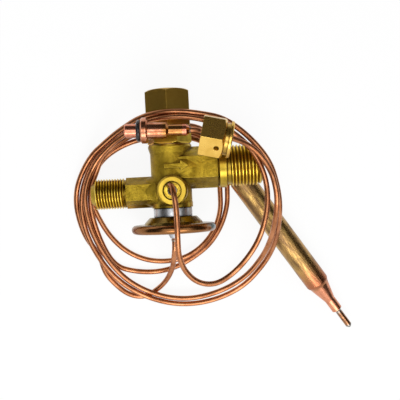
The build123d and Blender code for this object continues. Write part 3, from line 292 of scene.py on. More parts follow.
# Sensing tube: the same capillary, a little over a metre, from the ferrule under the head. It goes
# down to the table and round the valve in three and a half loose turns, to the bulb's neck.
SENSING_POINTS = [
    (-0.00330, -0.03750, 0.02213), (-0.00330, -0.04307, 0.02274), (-0.00350, -0.04810, 0.02060),
    (-0.00380, -0.05660, 0.01340), (-0.00630, -0.06420, 0.00670), (-0.01110, -0.07030, 0.00170),
    (-0.01860, -0.07440, 0.00145), (-0.02710, -0.07250, 0.00150), (-0.03430, -0.06620, 0.00150),
    (-0.03990, -0.05880, 0.00145), (-0.04200, -0.04870, 0.00150), (-0.05040, -0.03730, 0.00145),
    (-0.05420, -0.01600, 0.00150), (-0.04580, 0.00330, 0.00600), (-0.03450, 0.01320, 0.01200),
    (-0.02830, 0.01790, 0.01610), (-0.01870, 0.02390, 0.02380), (-0.00900, 0.02590, 0.02980),
    (0.00120, 0.02610, 0.03240), (0.01150, 0.02450, 0.03410), (0.02160, 0.02210, 0.03570),
    (0.03080, 0.01560, 0.03670), (0.03850, 0.00770, 0.03790), (0.04430, -0.00100, 0.03950),
    (0.04720, -0.01090, 0.04020), (0.04920, -0.02210, 0.03870), (0.05010, -0.03420, 0.03160),
    (0.05110, -0.04200, 0.02290), (0.05040, -0.05070, 0.01520), (0.04650, -0.05910, 0.01060),
    (0.03800, -0.06990, 0.00580), (0.02690, -0.07600, 0.00440), (0.01420, -0.07910, 0.00440),
    (0.00110, -0.07920, 0.00450), (-0.01080, -0.07640, 0.00460), (-0.02150, -0.07150, 0.00460),
    (-0.03150, -0.06460, 0.00440), (-0.04090, -0.05350, 0.00440), (-0.04950, -0.03550, 0.00450),
    (-0.05080, -0.01650, 0.00240), (-0.04380, 0.00140, 0.00150), (-0.03350, 0.01180, 0.00200),
    (-0.02670, 0.01690, 0.00190), (-0.01720, 0.01920, 0.00180), (-0.00720, 0.01930, 0.00150),
    (0.00360, 0.01940, 0.00150), (0.01370, 0.01860, 0.00145), (0.02280, 0.01300, 0.00150),
    (0.02850, 0.00480, 0.00145), (0.02980, -0.00530, 0.00150), (0.02970, -0.01610, 0.00145),
    (0.02950, -0.02580, 0.00150), (0.02590, -0.03680, 0.00145), (0.01920, -0.04680, 0.00150),
    (0.00990, -0.05360, 0.00150), (-0.00080, -0.05890, 0.00150), (-0.01200, -0.06080, 0.00150),
    (-0.02380, -0.05950, 0.00160), (-0.03390, -0.05590, 0.00160), (-0.04090, -0.04300, 0.00210),
    (-0.04580, -0.02460, 0.00400), (-0.04500, -0.01220, 0.00470), (-0.04230, -0.00580, 0.00490),
    (-0.03800, 0.00470, 0.00510), (-0.02890, 0.01120, 0.00430), (-0.01930, 0.01590, 0.00200),
    (-0.00890, 0.01640, 0.00160), (0.00180, 0.01650, 0.00150), (0.01220, 0.01500, 0.00150),
    (0.02020, 0.01000, 0.00150), (0.02470, 0.00210, 0.00150), (0.02530, -0.00820, 0.00150),
    (0.02560, -0.01810, 0.00160), (0.02570, -0.02840, 0.00145), (0.02160, -0.03920, 0.00290),
    (0.01380, -0.04790, 0.00430), (0.00390, -0.05370, 0.00380), (-0.00760, -0.05520, 0.00180),
    (-0.01840, -0.05320, 0.00145), (-0.02870, -0.04740, 0.00150), (-0.03690, -0.03810, 0.00145),
    (-0.04230, -0.02740, 0.00150), (-0.04600, -0.01690, 0.00145), (-0.04420, -0.00670, 0.00160),
    (-0.03820, 0.00240, 0.00180), (-0.02930, 0.00850, 0.00180), (-0.01880, 0.01230, 0.00170),
    (-0.00770, 0.01350, 0.00150), (0.00180, 0.01340, 0.00145), (0.00990, 0.01240, 0.00310),
    (0.01590, 0.01020, 0.00580), (0.02090, 0.00710, 0.00670), (0.02529, 0.00445, 0.00668),
    (0.02966, -0.00176, 0.00668),
]
sensing_tube = bend_tube("sensing_tube", SENSING_POINTS)
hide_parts("sensing_capillary")


# Valve body: one hot forging of yellow brass with a fine pitted skin. The arms' threads, the collar,
# the boss's face and the two ends of the barrel were turned bright after forging.
VALVE_AXES = Matrix((
    (0.98768834, 0.15643447, 0.0),
    (0.01678547, -0.10597926, 0.99422666),
    (0.15553132, -0.98198608, -0.10730031),
))
VALVE_CENTRE = Vector((-0.0032965, -0.0146362, 0.0196662))
VALVE_PLACE = Matrix.Translation(VALVE_CENTRE) @ VALVE_AXES.to_4x4()


def in_valve(tree):
    """The point in millimetres along the valve's own axes: the flow, the boss's back and the spindle."""
    return millimetres(tree, VALVE_CENTRE, VALVE_AXES.to_euler())


def apart(tree, vector):
    """A vector's three numbers."""
    return put(tree, "SeparateXYZ", {0: vector}).outputs


def most(tree, *values):
    """The largest of several masks."""
    found = values[0]
    for value in values[1:]:
        found = put(tree, "Math", {0: found, 1: value}, operation="MAXIMUM").outputs[0]
    return found


def least(tree, first, second):
    """The smaller of two masks."""
    return put(tree, "Math", {0: first, 1: second}, operation="MINIMUM").outputs[0]


def across(tree, first, second):
    """The distance from an axis, from the two coordinates square to it."""
    flat = put(tree, "CombineXYZ", {0: first, 1: second})
    return put(tree, "VectorMath", {0: flat.outputs[0]}, operation="LENGTH").outputs["Value"]


# edges: where a sharp edge is near, as the mask of a painted highlight, and the normal of that edge a little
# rounded
edges, edges_in, edges_out = group_of(
    "edges", [("Width", "Float")], [("Mask", "Float"), ("Normal", "Vector")])
edges_round = put(edges, "Bevel", {"Radius": edges_in["Width"]}, samples=6)
edges_flat = put(edges, "NewGeometry", {})
edges_turn = put(edges, "VectorMath", {
    0: edges_round.outputs[0], 1: edges_flat.outputs["Normal"]}, operation="DOT_PRODUCT")
edges.links.new(ramp(edges, edges_turn.outputs["Value"], 0.995, 0.90), edges_out["Mask"])
edges.links.new(edges_round.outputs[0], edges_out["Normal"])

# forged_skin: the height of a hot forging's skin, long soft waves with small pits in them
forged_skin, skin_in, skin_out = group_of(
    "forged_skin", [("Place", "Vector")], [("Height", "Float"), ("Pits", "Float")])
skin_waves = put(forged_skin, "TexNoise", {"Vector": skin_in["Place"], "Scale": 0.35, "Detail": 2.0})
skin_grain = put(forged_skin, "TexNoise", {
    "Vector": skin_in["Place"], "Scale": 2.6, "Detail": 5.0, "Roughness": 0.7})
skin_pits = ramp(forged_skin, skin_grain.outputs["Fac"], 0.50, 0.36)
skin_grains = put(forged_skin, "Math", {0: skin_grain.outputs["Fac"], 1: skin_pits}, operation="SUBTRACT")
skin_height = put(forged_skin, "Math", {
    0: skin_waves.outputs["Fac"], 1: 3.0, 2: skin_grains.outputs[0]}, operation="MULTIPLY_ADD")
forged_skin.links.new(skin_height.outputs[0], skin_out["Height"])
forged_skin.links.new(skin_pits, skin_out["Pits"])

# turned_lines: the fine rings that a lathe tool leaves round the Z axis of a piece
turned_lines, lines_in, lines_out = group_of(
    "turned_lines", [("Place", "Vector"), ("Fineness", "Float")], [("Height", "Float")])
lines_at = apart(turned_lines, lines_in["Place"])
lines_sum = put(turned_lines, "Math", {
    0: across(turned_lines, lines_at[0], lines_at[1]), 1: 0.83, 2: lines_at[2]}, operation="MULTIPLY_ADD")
lines_noise = put(turned_lines, "TexNoise", {
    "W": lines_sum.outputs[0], "Scale": lines_in["Fineness"], "Detail": 3.0}, noise_dimensions="1D")
turned_lines.links.new(lines_noise.outputs["Fac"], lines_out["Height"])

# painted shade: a mask that darkens the colour in inside corners and recesses, where less light reaches
corner_shade, corner_shade_in, corner_shade_out = group_of("corner_shade", [("Reach", "Float")], [("Mask", "Float")])
corner_openness = put(corner_shade, "AmbientOcclusion", {"Distance": corner_shade_in["Reach"]}, samples=8)
corner_shade.links.new(ramp(corner_shade, corner_openness.outputs["AO"], 0.96, 0.50), corner_shade_out["Mask"])

# painted shade: the dark brown that the body's colour turns to in its inside corners and recesses
SHADE_BROWN = (0.10, 0.055, 0.008, 1)
FORGED_LIGHT = (0.56, 0.385, 0.037, 1)
FORGED_DARK = (0.27, 0.175, 0.013, 1)
TURNED_LIGHT = (0.74, 0.52, 0.065, 1)
TURNED_DARK = (0.50, 0.32, 0.03, 1)
ARM_LIGHT = (0.50, 0.34, 0.045, 1)
ARM_DARK = (0.34, 0.22, 0.022, 1)
SKIN_DEPTH = 0.00006
TURNED_FADE = 0.1
INLET_TURNED_X = -23.4
OUTLET_TURNED_X = 24.2
BOSS_AT = (0.6, -14.1)
BOSS_EDGE_R = 7.7
BARREL_ENDS_Z = (-6.3, 22.8)
body_brass, body_tree, body_shader = new_finish("body_brass", 0.4)
body_place = in_valve(body_tree)
body_at = apart(body_tree, body_place)
body_from_boss = put(body_tree, "Math", {0: body_at[0], 1: BOSS_AT[0]}, operation="SUBTRACT").outputs[0]
boss_face = least(
    body_tree, ramp(body_tree, body_at[1], BOSS_AT[1] + TURNED_FADE, BOSS_AT[1] - TURNED_FADE),
    ramp(body_tree, across(body_tree, body_from_boss, body_at[2]),
         BOSS_EDGE_R + 2 * TURNED_FADE, BOSS_EDGE_R))
body_turned = most(
    body_tree, boss_face,
    ramp(body_tree, body_at[0], INLET_TURNED_X + TURNED_FADE, INLET_TURNED_X - TURNED_FADE),
    ramp(body_tree, body_at[0], OUTLET_TURNED_X - TURNED_FADE, OUTLET_TURNED_X + TURNED_FADE),
    ramp(body_tree, body_at[2], BARREL_ENDS_Z[0] + TURNED_FADE, BARREL_ENDS_Z[0] - TURNED_FADE),
    ramp(body_tree, body_at[2], BARREL_ENDS_Z[1] - TURNED_FADE, BARREL_ENDS_Z[1] + TURNED_FADE))
body_skin = grouped(body_tree, forged_skin, {"Place": body_place})
body_cloud = grouped(body_tree, stains, {"Place": body_place, "Size": 7.0})["Mask"]
body_edge = grouped(body_tree, edges, {"Width": 0.0004})
body_dull = mixed(body_tree, most(body_tree, body_skin["Pits"], body_cloud), FORGED_LIGHT, FORGED_DARK)
# painted highlight: the forging's colour lightened to bright turned brass along its sharp edges
body_edge_lit = mixed(body_tree, body_edge["Mask"], body_dull, TURNED_LIGHT)
body_bright = mixed(body_tree, body_cloud, ARM_LIGHT, ARM_DARK)
body_unshaded = mixed(body_tree, body_turned, body_edge_lit, body_bright)
# painted shade: the body's colour darkened towards that brown in inside corners and recesses
body_dark_corners = grouped(body_tree, corner_shade, {"Reach": 0.0022})["Mask"]
body_tree.links.new(mixed(body_tree, body_dark_corners, body_unshaded, SHADE_BROWN), body_shader["Base Color"])
body_tree.links.new(varied(body_tree, body_turned, 0.40, 0.30), body_shader["Roughness"])
body_rise = put(body_tree, "Mix", {0: body_turned, 2: body_skin["Height"], 3: 0.5}, data_type="FLOAT")
body_bump = put(body_tree, "Bump", {
    "Height": body_rise.outputs[0], "Distance": SKIN_DEPTH, "Normal": body_edge["Normal"]})
body_tree.links.new(body_bump.outputs["Normal"], body_shader["Normal"])


def dress(material, slot, *nodes):
    """CAD pieces take a material."""
    for name in nodes:
        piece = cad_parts[name]
        piece.data.materials.clear()
        piece.data.materials.append(material)


dress(body_brass, "forged_brass", "valve_body")


# Threads of the two arms: V threads cut on the lathe, each a ridge that runs out softly at both ends.
# The crests are coloured bright and the roots dark.
SHARP_ANGLE = radians(28)


def finish_mesh(made, name, place, material):
    """A bmesh in millimetres becomes a shown piece with smooth faces at its place."""
    bmesh.ops.transform(made, matrix=place @ Matrix.Scale(0.001, 4), verts=made.verts)
    bmesh.ops.recalc_face_normals(made, faces=made.faces)
    mesh = bpy.data.meshes.new(name)
    made.to_mesh(mesh)
    made.free()
    mesh.materials.append(material)
    for face in mesh.polygons:
        face.use_smooth = True
    mesh.set_sharp_from_angle(angle=SHARP_ANGLE)
    piece = bpy.data.objects.new(name, mesh)
    bpy.context.scene.collection.objects.link(piece)
    return piece


THREAD_STEPS = 40
THREAD_OUTLINE = ((0, -0.48), (1, -0.07), (1, 0.07), (0, 0.48))
THREAD_RUN_OUT = 0.8
THREAD_CREST = (1.0, 0.74, 0.10, 1)
THREAD_TARNISH = (0.86, 0.60, 0.07, 1)
THREAD_ROOT = (0.26, 0.145, 0.015, 1)


def wind_thread(name, place, length, root, crest, pitch, material):
    """A V ridge wound round the Z axis of its place, from root radius to crest radius."""
    made = bmesh.new()
    corners = [
        made.verts.new((crest if at_crest else root, 0, pitch * part)) for at_crest, part in THREAD_OUTLINE]
    sides = [made.edges.new((corners[i - 1], corners[i])) for i in range(len(corners))]
    steps = round(length / pitch * THREAD_STEPS)
    wound = bmesh.ops.spin(
        made, geom=corners + sides, cent=(0, 0, 0), axis=(0, 0, 1), dvec=(0, 0, length / steps),
        angle=2 * pi * length / pitch, steps=steps)
    last = [edge for edge in wound["geom_last"] if isinstance(edge, bmesh.types.BMEdge)]
    bmesh.ops.edgeloop_fill(made, edges=sides)
    bmesh.ops.edgeloop_fill(made, edges=last)
    for corner in made.verts:
        from_end = min(corner.co.z, length - corner.co.z) / pitch + 0.5
        rise = max(0.02, min(1.0, from_end / THREAD_RUN_OUT))
        radius = corner.co.xy.length
        corner.co.xy *= (root + (radius - root) * rise) / radius
    return finish_mesh(made, name, place, material)


def thread_finish(name, place_of, root, crest):
    """Brass that is bright on the crests of a thread and dark in its roots."""
    material, tree, shader = new_finish(name, 0.22)
    place = place_of(tree)
    at = apart(tree, place)
    height = ramp(tree, across(tree, at[0], at[1]), root + 0.1, crest)
    cloud = grouped(tree, stains, {"Place": place, "Size": 9.0})["Mask"]
    crest_colour = mixed(tree, cloud, THREAD_CREST, THREAD_TARNISH)
    tree.links.new(mixed(tree, height, THREAD_ROOT, crest_colour), shader["Base Color"])
    tree.links.new(varied(tree, height, 0.40, 0.28), shader["Roughness"])
    return material


ALONG_FLOW = VALVE_PLACE @ Matrix.Rotation(radians(90), 4, "Y")


def along(place, shift):
    """A place moved along its own axes by a shift in millimetres."""
    return place @ Matrix.Translation(Vector(shift) * 0.001)


def centred(place):
    """A function that gives a tree the millimetres of this place."""
    return lambda tree: millimetres(tree, place.translation, place.to_euler())


# where each thread starts along the flow, then its length, root radius, crest radius and pitch
INLET_THREAD = (-39.8, 15.6, 6.98, 7.9, 1.41)
OUTLET_THREAD = (30.2, 15.6, 9.68, 10.8, 1.74)
OUTLET_AXIS_Z = 11.6
inlet_place = along(ALONG_FLOW, (0, 0, INLET_THREAD[0]))
inlet_finish = thread_finish(
    "inlet_thread_brass", centred(inlet_place), INLET_THREAD[2], INLET_THREAD[3])
inlet_thread = wind_thread("inlet_thread", inlet_place, *INLET_THREAD[1:], inlet_finish)
outlet_place = along(ALONG_FLOW, (-OUTLET_AXIS_Z, 0, OUTLET_THREAD[0]))
outlet_finish = thread_finish(
    "outlet_thread_brass", centred(outlet_place), OUTLET_THREAD[2], OUTLET_THREAD[3])
outlet_thread = wind_thread("outlet_thread", outlet_place, *OUTLET_THREAD[1:], outlet_finish)
for thread in (inlet_thread, outlet_thread):
    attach(thread, "root")


# Equaliser bush and its solder: a turned brass bush pressed into the boss, with the tube soldered in
# its middle. A ring of silver solder stands round the tube.
TUBE_R = 1.4
# how wide the painted highlight and the rounding along sharp edges are
EDGE_WIDTH = 0.00025
# painted shade in inside corners: how far it reaches, and how dark it is as a share of a finish's dark
# colour
SHADE_REACH = 0.0016
SHADE_SHARE = 0.18


def turned_finish(name, place_of, light, dark, roughness, size, depth=0.00001):
    """Lathe-turned metal with rings, cloudy tarnish, a painted highlight on rounded edges and painted corner
    shade.
    """
    material, tree, shader = new_finish(name, roughness)
    place = place_of(tree)
    cloud = grouped(tree, stains, {"Place": place, "Size": size})["Mask"]
    edge = grouped(tree, edges, {"Width": EDGE_WIDTH})
    # painted highlight: the colour lightened to the light tone along sharp edges
    unshaded = mixed(tree, edge["Mask"], mixed(tree, cloud, light, dark), light)
    # painted shade: the colour darkened in inside corners and recesses
    shade_amount = grouped(tree, corner_shade, {"Reach": SHADE_REACH})["Mask"]
    shade_colour = tuple(SHADE_SHARE * part for part in dark[:3]) + (1,)
    tree.links.new(mixed(tree, shade_amount, unshaded, shade_colour), shader["Base Color"])
    tree.links.new(varied(tree, cloud, roughness, roughness + 0.12), shader["Roughness"])
    lines = grouped(tree, turned_lines, {"Place": place, "Fineness": 5.0})["Height"]
    bump = put(tree, "Bump", {"Height": lines, "Distance": depth, "Normal": edge["Normal"]})
    tree.links.new(bump.outputs["Normal"], shader["Normal"])
    return material


def spin_profile(name, profile, place, material, steps=48):
    """A closed outline of (radius, height) pairs in millimetres turned round the Z axis of its place."""
    made = bmesh.new()
    corners = [made.verts.new((radius, 0, height)) for radius, height in profile]
    sides = [made.edges.new((corners[i - 1], corners[i])) for i in range(len(corners))]
    bmesh.ops.spin(
        made, geom=corners + sides, cent=(0, 0, 0), axis=(0, 0, 1), angle=2 * pi, steps=steps,
        use_merge=True)
    bmesh.ops.remove_doubles(made, verts=made.verts, dist=0.001)
    return finish_mesh(made, name, place, material)


SOLDER_SUNK = 0.1
SOLDER_LIP = 0.05
SOLDER_LIGHT = (0.42, 0.37, 0.31, 1)
SOLDER_DARK = (0.22, 0.15, 0.10, 1)


def solder_ring(name, place, inner, outer, height, material):
    """A concave fillet of solder on a flat face, climbing up the tube inside it."""
    profile = [
        (inner, -SOLDER_SUNK), (outer, -SOLDER_SUNK), (outer, SOLDER_LIP),
        (inner + 0.45 * (outer - inner), 0.22 * height),
        (inner + 0.15 * (outer - inner), 0.6 * height), (inner, height),
    ]
    ring = spin_profile(name, profile, place, material)
    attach(ring, "root")
    return ring


BOSS_PLACE = along(VALVE_PLACE @ Matrix.Rotation(radians(90), 4, "X"), (BOSS_AT[0], 0, 0))
BUSH_FACE_AT = 11.6
bush_brass = turned_finish("bush_brass", centred(BOSS_PLACE), TURNED_LIGHT, TURNED_DARK, 0.22, 3.0, 0.00004)
dress(bush_brass, "turned_brass", "equaliser_bush")
silver_solder, solder_tree, solder_shader = new_finish("silver_solder", 0.3)
solder_place = millimetres(solder_tree)
solder_cloud = grouped(solder_tree, stains, {"Place": solder_place, "Size": 1.5})["Mask"]
solder_tree.links.new(
    mixed(solder_tree, solder_cloud, SOLDER_LIGHT, SOLDER_DARK), solder_shader["Base Color"])
roughened(solder_tree, solder_shader, solder_cloud, 0.00006)
solder_ring("boss_solder", along(BOSS_PLACE, (0, 0, BUSH_FACE_AT)), TUBE_R, 2.5, 1.1, silver_solder)


# Inlet strainer: a tapered cup of woven steel wire cloth with a rim, pushed into the inlet bore.
# The cloth is finer than a millimetre, so its weave is in the finish.
WEFT_PER_MM = 16.0
WARP_ROUND = 44.0
strainer_steel, strainer_tree, strainer_shader = new_finish("strainer_steel", 0.35)
strainer_at = apart(strainer_tree, centred(ALONG_FLOW)(strainer_tree))
strainer_angle = put(strainer_tree, "Math", {0: strainer_at[0], 1: strainer_at[1]}, operation="ARCTAN2")
strainer_weft = put(strainer_tree, "Math", {0: strainer_at[2], 1: WEFT_PER_MM}, operation="MULTIPLY")
strainer_warp = put(strainer_tree, "Math", {
    0: strainer_angle.outputs[0], 1: WARP_ROUND}, operation="MULTIPLY")
strainer_wires = put(strainer_tree, "Math", {
    0: put(strainer_tree, "Math", {0: strainer_weft.outputs[0]}, operation="SINE").outputs[0],
    1: put(strainer_tree, "Math", {0: strainer_warp.outputs[0]}, operation="SINE").outputs[0],
}, operation="MAXIMUM").outputs[0]
strainer_cloth = ramp(strainer_tree, strainer_wires, 0.1, 0.7)
strainer_tree.links.new(
    mixed(strainer_tree, strainer_cloth, (0.06, 0.06, 0.06, 1), (0.62, 0.61, 0.58, 1)),
    strainer_shader["Base Color"])
roughened(strainer_tree, strainer_shader, strainer_cloth, 0.0001)
dress(strainer_steel, "mesh_steel", "inlet_strainer")


# Bonnet and its gasket: a hexagon nut turned from bar, screwed into the body on a soft copper ring.
# Its chamfers are bright from the tool and carry a painted highlight; its flats have the drawn bar's brown
# skin.
BAR_LIGHT = (0.46, 0.32, 0.035, 1)
BAR_DARK = (0.27, 0.18, 0.018, 1)
VALVE_CENTRED = centred(VALVE_PLACE)
bonnet_brass = turned_finish("bonnet_brass", VALVE_CENTRED, BAR_LIGHT, BAR_DARK, 0.26, 5.0, 0.000003)
BONNET_CHAMFERS_Z = (25.0, 31.6)
BONNET_FADE = 0.2
bonnet_tree = bonnet_brass.node_tree
bonnet_shader = bonnet_tree.nodes["Principled BSDF"].inputs
bonnet_height = apart(bonnet_tree, in_valve(bonnet_tree))[2]
# the chamfers' bright turned colour, which is also a painted highlight along them
bonnet_chamfer_bright = most(
    bonnet_tree, ramp(bonnet_tree, bonnet_height, BONNET_CHAMFERS_Z[0], BONNET_CHAMFERS_Z[0] - BONNET_FADE),
    ramp(bonnet_tree, bonnet_height, BONNET_CHAMFERS_Z[1], BONNET_CHAMFERS_Z[1] + BONNET_FADE))
bonnet_flat = bonnet_shader["Base Color"].links[0].from_socket
bonnet_tree.links.new(mixed(bonnet_tree, bonnet_chamfer_bright, bonnet_flat, TURNED_LIGHT), bonnet_shader["Base Color"])
dress(bonnet_brass, "turned_brass", "bonnet")
gasket_copper = turned_finish(
    "gasket_copper", VALVE_CENTRED, (0.66, 0.38, 0.13, 1), (0.46, 0.24, 0.07, 1), 0.35, 2.0)
dress(gasket_copper, "gasket_copper", "bonnet_gasket", "cap_gasket")


# Seal cap: a tall hexagon cap of brass bar, tarnished brown on its milled flats, with a crowned top.
CAP_LIGHT = (0.52, 0.33, 0.06, 1)
CAP_DARK = (0.40, 0.23, 0.036, 1)
cap_brass = turned_finish("cap_brass", VALVE_CENTRED, CAP_LIGHT, CAP_DARK, 0.3, 14.0, 0.000003)
dress(cap_brass, "cap_brass", "seal_cap")


# Head: two pressed steel shells welded at the rim with a thin diaphragm between, on a bright turned
# ring. Welding left the shells brown and gold, with a blue patch, and their rim red-brown.
ring_steel = turned_finish(
    "ring_steel", VALVE_CENTRED, (0.60, 0.61, 0.63, 1), (0.44, 0.46, 0.49, 1), 0.30, 6.0)
dress(ring_steel, "ring_steel", "head_ring", "head_ferrule")

HEAD_RIM_R = 21.85
HEAD_GOLD = (0.30, 0.20, 0.045, 1)
HEAD_BROWN = (0.15, 0.095, 0.025, 1)
HEAD_RED = (0.30, 0.13, 0.045, 1)
HEAD_BLUE = (0.10, 0.26, 0.34, 1)
head_steel, head_tree, head_shader = new_finish("head_steel", 0.24)
head_place = in_valve(head_tree)
head_at = apart(head_tree, head_place)
head_radius = across(head_tree, head_at[0], head_at[1])
head_cloud = grouped(head_tree, stains, {"Place": head_place, "Size": 8.0})["Mask"]
head_flat = mixed(head_tree, head_cloud, HEAD_GOLD, HEAD_BROWN)
head_rim = ramp(head_tree, head_radius, HEAD_RIM_R - 2.6, HEAD_RIM_R - 0.6)
head_edge = mixed(head_tree, head_rim, head_flat, HEAD_RED)
head_blue = least(
    head_tree, ramp(head_tree, head_at[0], HEAD_RIM_R - 5.0, HEAD_RIM_R - 1.0),
    ramp(head_tree, head_cloud, 0.3, 0.8))
head_tree.links.new(mixed(head_tree, head_blue, head_edge, HEAD_BLUE), head_shader["Base Color"])
head_tree.links.new(varied(head_tree, head_cloud, 0.18, 0.32), head_shader["Roughness"])
head_lines = grouped(head_tree, turned_lines, {"Place": head_place, "Fineness": 2.0})["Height"]
roughened(head_tree, head_shader, head_lines, 0.00002)
dress(head_steel, "head_steel", "head_upper_cup", "head_cover")
diaphragm_steel = turned_finish(
    "diaphragm_steel", VALVE_CENTRED, (0.56, 0.57, 0.59, 1), (0.46, 0.46, 0.48, 1), 0.3, 6.0)
dress(diaphragm_steel, "spring_steel", "diaphragm")
HEAD_PLACE = VALVE_PLACE @ Matrix.Rotation(pi, 4, "X")
FERRULE_END_AT = 25.3
solder_ring(
    "ferrule_solder", along(HEAD_PLACE, (0, 0, FERRULE_END_AT)), TUBE_R, 1.95, 1.0, silver_solder)


# Equaliser end: a turned copper end piece with a pilot and a rubber ring, soldered on the tube. Its
# pilot is bare, its stem is dulled by heat and its shank is brown where it was soldered.
FITTING_TIP = Vector((-0.0273, 0.0172, 0.0373))
FITTING_TURN = Matrix.Rotation(radians(-1.0), 4, "Z") @ Matrix.Rotation(radians(90 - 9.15), 4, "Y")
FITTING_PLACE = Matrix.Translation(FITTING_TIP) @ FITTING_TURN
PILOT_END = 5.6
STEM_END = 18.7
SHANK_END = 27.7
SHANK_CONE_END = 31.4
PILOT_LIGHT = (0.74, 0.30, 0.19, 1)
PILOT_DARK = (0.56, 0.19, 0.10, 1)
STEM_LIGHT = (0.60, 0.27, 0.16, 1)
STEM_DARK = (0.42, 0.14, 0.06, 1)
SHANK_LIGHT = (0.44, 0.20, 0.065, 1)
SHANK_DARK = (0.32, 0.12, 0.03, 1)
RUBBER_BLACK = (0.010, 0.010, 0.012, 1)
RUBBER_WORN = (0.022, 0.020, 0.020, 1)
end_copper, end_tree, end_shader = new_finish("end_copper", 0.2)
end_place = centred(FITTING_PLACE)(end_tree)
end_at = apart(end_tree, end_place)
end_cloud = grouped(end_tree, stains, {"Place": end_place, "Size": 2.5})["Mask"]
end_pilot = mixed(end_tree, end_cloud, PILOT_LIGHT, PILOT_DARK)
end_stem = mixed(end_tree, end_cloud, STEM_LIGHT, STEM_DARK)
end_shank = mixed(end_tree, end_cloud, SHANK_LIGHT, SHANK_DARK)
end_past_pilot = ramp(end_tree, end_at[2], PILOT_END, PILOT_END + 0.4)
end_past_stem = ramp(end_tree, end_at[2], STEM_END - 1.5, STEM_END + 0.5)
end_past_shank = ramp(end_tree, end_at[2], SHANK_END, SHANK_END + 0.6)
end_front = mixed(end_tree, end_past_pilot, end_pilot, end_stem)
end_back = mixed(end_tree, end_past_stem, end_front, end_shank)
end_tree.links.new(mixed(end_tree, end_past_shank, end_back, end_pilot), end_shader["Base Color"])
end_tree.links.new(varied(end_tree, end_cloud, 0.16, 0.30), end_shader["Roughness"])
end_lines = grouped(end_tree, turned_lines, {"Place": end_place, "Fineness": 3.0})["Height"]
roughened(end_tree, end_shader, end_lines, 0.00003)
dress(end_copper, "copper", "equaliser_end")
black_rubber, rubber_tree, rubber_shader = new_finish("black_rubber", 0.22, 0.0)
rubber_cloud = grouped(rubber_tree, stains, {"Place": millimetres(rubber_tree), "Size": 0.8})["Mask"]
rubber_tree.links.new(
    mixed(rubber_tree, rubber_cloud, RUBBER_BLACK, RUBBER_WORN), rubber_shader["Base Color"])
rubber_tree.links.new(varied(rubber_tree, rubber_cloud, 0.18, 0.34), rubber_shader["Roughness"])
dress(black_rubber, "rubber", "equaliser_oring", "spindle_oring", "rod_seal")
solder_ring(
    "shank_solder", along(FITTING_PLACE, (0, 0, SHANK_CONE_END)), TUBE_R, 1.8, 0.9, silver_solder)


# Flare nut: a short hexagon nut of brass bar that turns freely on the tube, with a vent hole in one
# flat and a fine thread in its mouth. Its flats are bright under a little cloudy tarnish.
NUT_MOUTH = Vector((0.0085, 0.0144, 0.0475))
NUT_TURN = Matrix.Rotation(radians(-12.5), 4, "Z") @ Matrix.Rotation(radians(90 - 10.15), 4, "Y")
NUT_PLACE = Matrix.Translation(NUT_MOUTH) @ NUT_TURN
NUT_ROLL = radians(6.3)
NUT_FLATS = 18.4
NUT_CORNER_R = NUT_FLATS / 3 ** 0.5
NUT_HEX_END = 11.4
NUT_LENGTH = 15.0
NUT_BORE_R = 7.0
NUT_HOLE_R = 4.4
NUT_GROOVE_R = 7.8
NUT_BAND_R = 8.9
NUT_BAND_AT = 13.3
NUT_STEPS = 96
NUT_PROFILE = [
    (NUT_BORE_R + 0.8, 0), (NUT_CORNER_R - 0.5, 0), (NUT_CORNER_R, 0.4),
    (NUT_CORNER_R, NUT_HEX_END - 1.3), (8.7, NUT_HEX_END), (NUT_GROOVE_R, NUT_HEX_END + 0.2),
    (NUT_GROOVE_R, NUT_BAND_AT), (NUT_BAND_R, NUT_BAND_AT + 0.2), (NUT_BAND_R, NUT_LENGTH - 0.5),
    (NUT_BAND_R - 0.5, NUT_LENGTH), (NUT_HOLE_R, NUT_LENGTH), (NUT_HOLE_R, 12.1), (NUT_BORE_R, 9.5),
    (NUT_BORE_R, 0.8),
]
VENT_R = 1.3
VENT_AT = 8.2
VENT_FROM = 3
VENT_TO = 12


def prism(name, corners, corner_r, low, high, place):
    """A prism round the Z axis of its place, as a tool for cutting other pieces."""
    made = bmesh.new()
    bmesh.ops.create_cone(
        made, cap_ends=True, segments=corners, radius1=corner_r, radius2=corner_r,
        depth=high - low)
    bmesh.ops.translate(made, vec=(0, 0, (low + high) / 2), verts=made.verts)
    return finish_mesh(made, name, place, None)


def cut(piece, *tools):
    """The piece with each tool's operation done to its mesh; the tools are used up."""
    for tool, operation in tools:
        step = piece.modifiers.new("cut", "BOOLEAN")
        step.operation = operation
        step.solver = "EXACT"
        step.object = tool
    shape = bpy.data.meshes.new_from_object(piece.evaluated_get(bpy.context.evaluated_depsgraph_get()))
    piece.modifiers.clear()
    piece.data = shape
    shape.set_sharp_from_angle(angle=SHARP_ANGLE)
    for tool, _ in tools:
        bpy.data.objects.remove(tool)


nut_brass = turned_finish(
    "nut_brass", centred(NUT_PLACE), (0.88, 0.56, 0.13, 1), (0.66, 0.40, 0.075, 1), 0.24, 7.0, 0.000003)
flare_nut = spin_profile("flare_nut", NUT_PROFILE, NUT_PLACE, nut_brass, NUT_STEPS)
nut_rolled = NUT_PLACE @ Matrix.Rotation(NUT_ROLL + radians(30), 4, "Z")
nut_bar = prism("nut_bar", 6, NUT_CORNER_R, -1, NUT_LENGTH + 1, nut_rolled)
vent_turn = Matrix.Rotation(NUT_ROLL + radians(210), 4, "Z") @ Matrix.Rotation(radians(90), 4, "Y")
vent_place = along(NUT_PLACE, (0, 0, VENT_AT)) @ vent_turn
vent_drill = prism("vent_drill", 32, VENT_R, VENT_FROM, VENT_TO, vent_place)
cut(flare_nut, (nut_bar, "INTERSECT"), (vent_drill, "DIFFERENCE"))
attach(flare_nut, "nut")
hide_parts("equaliser_nut")
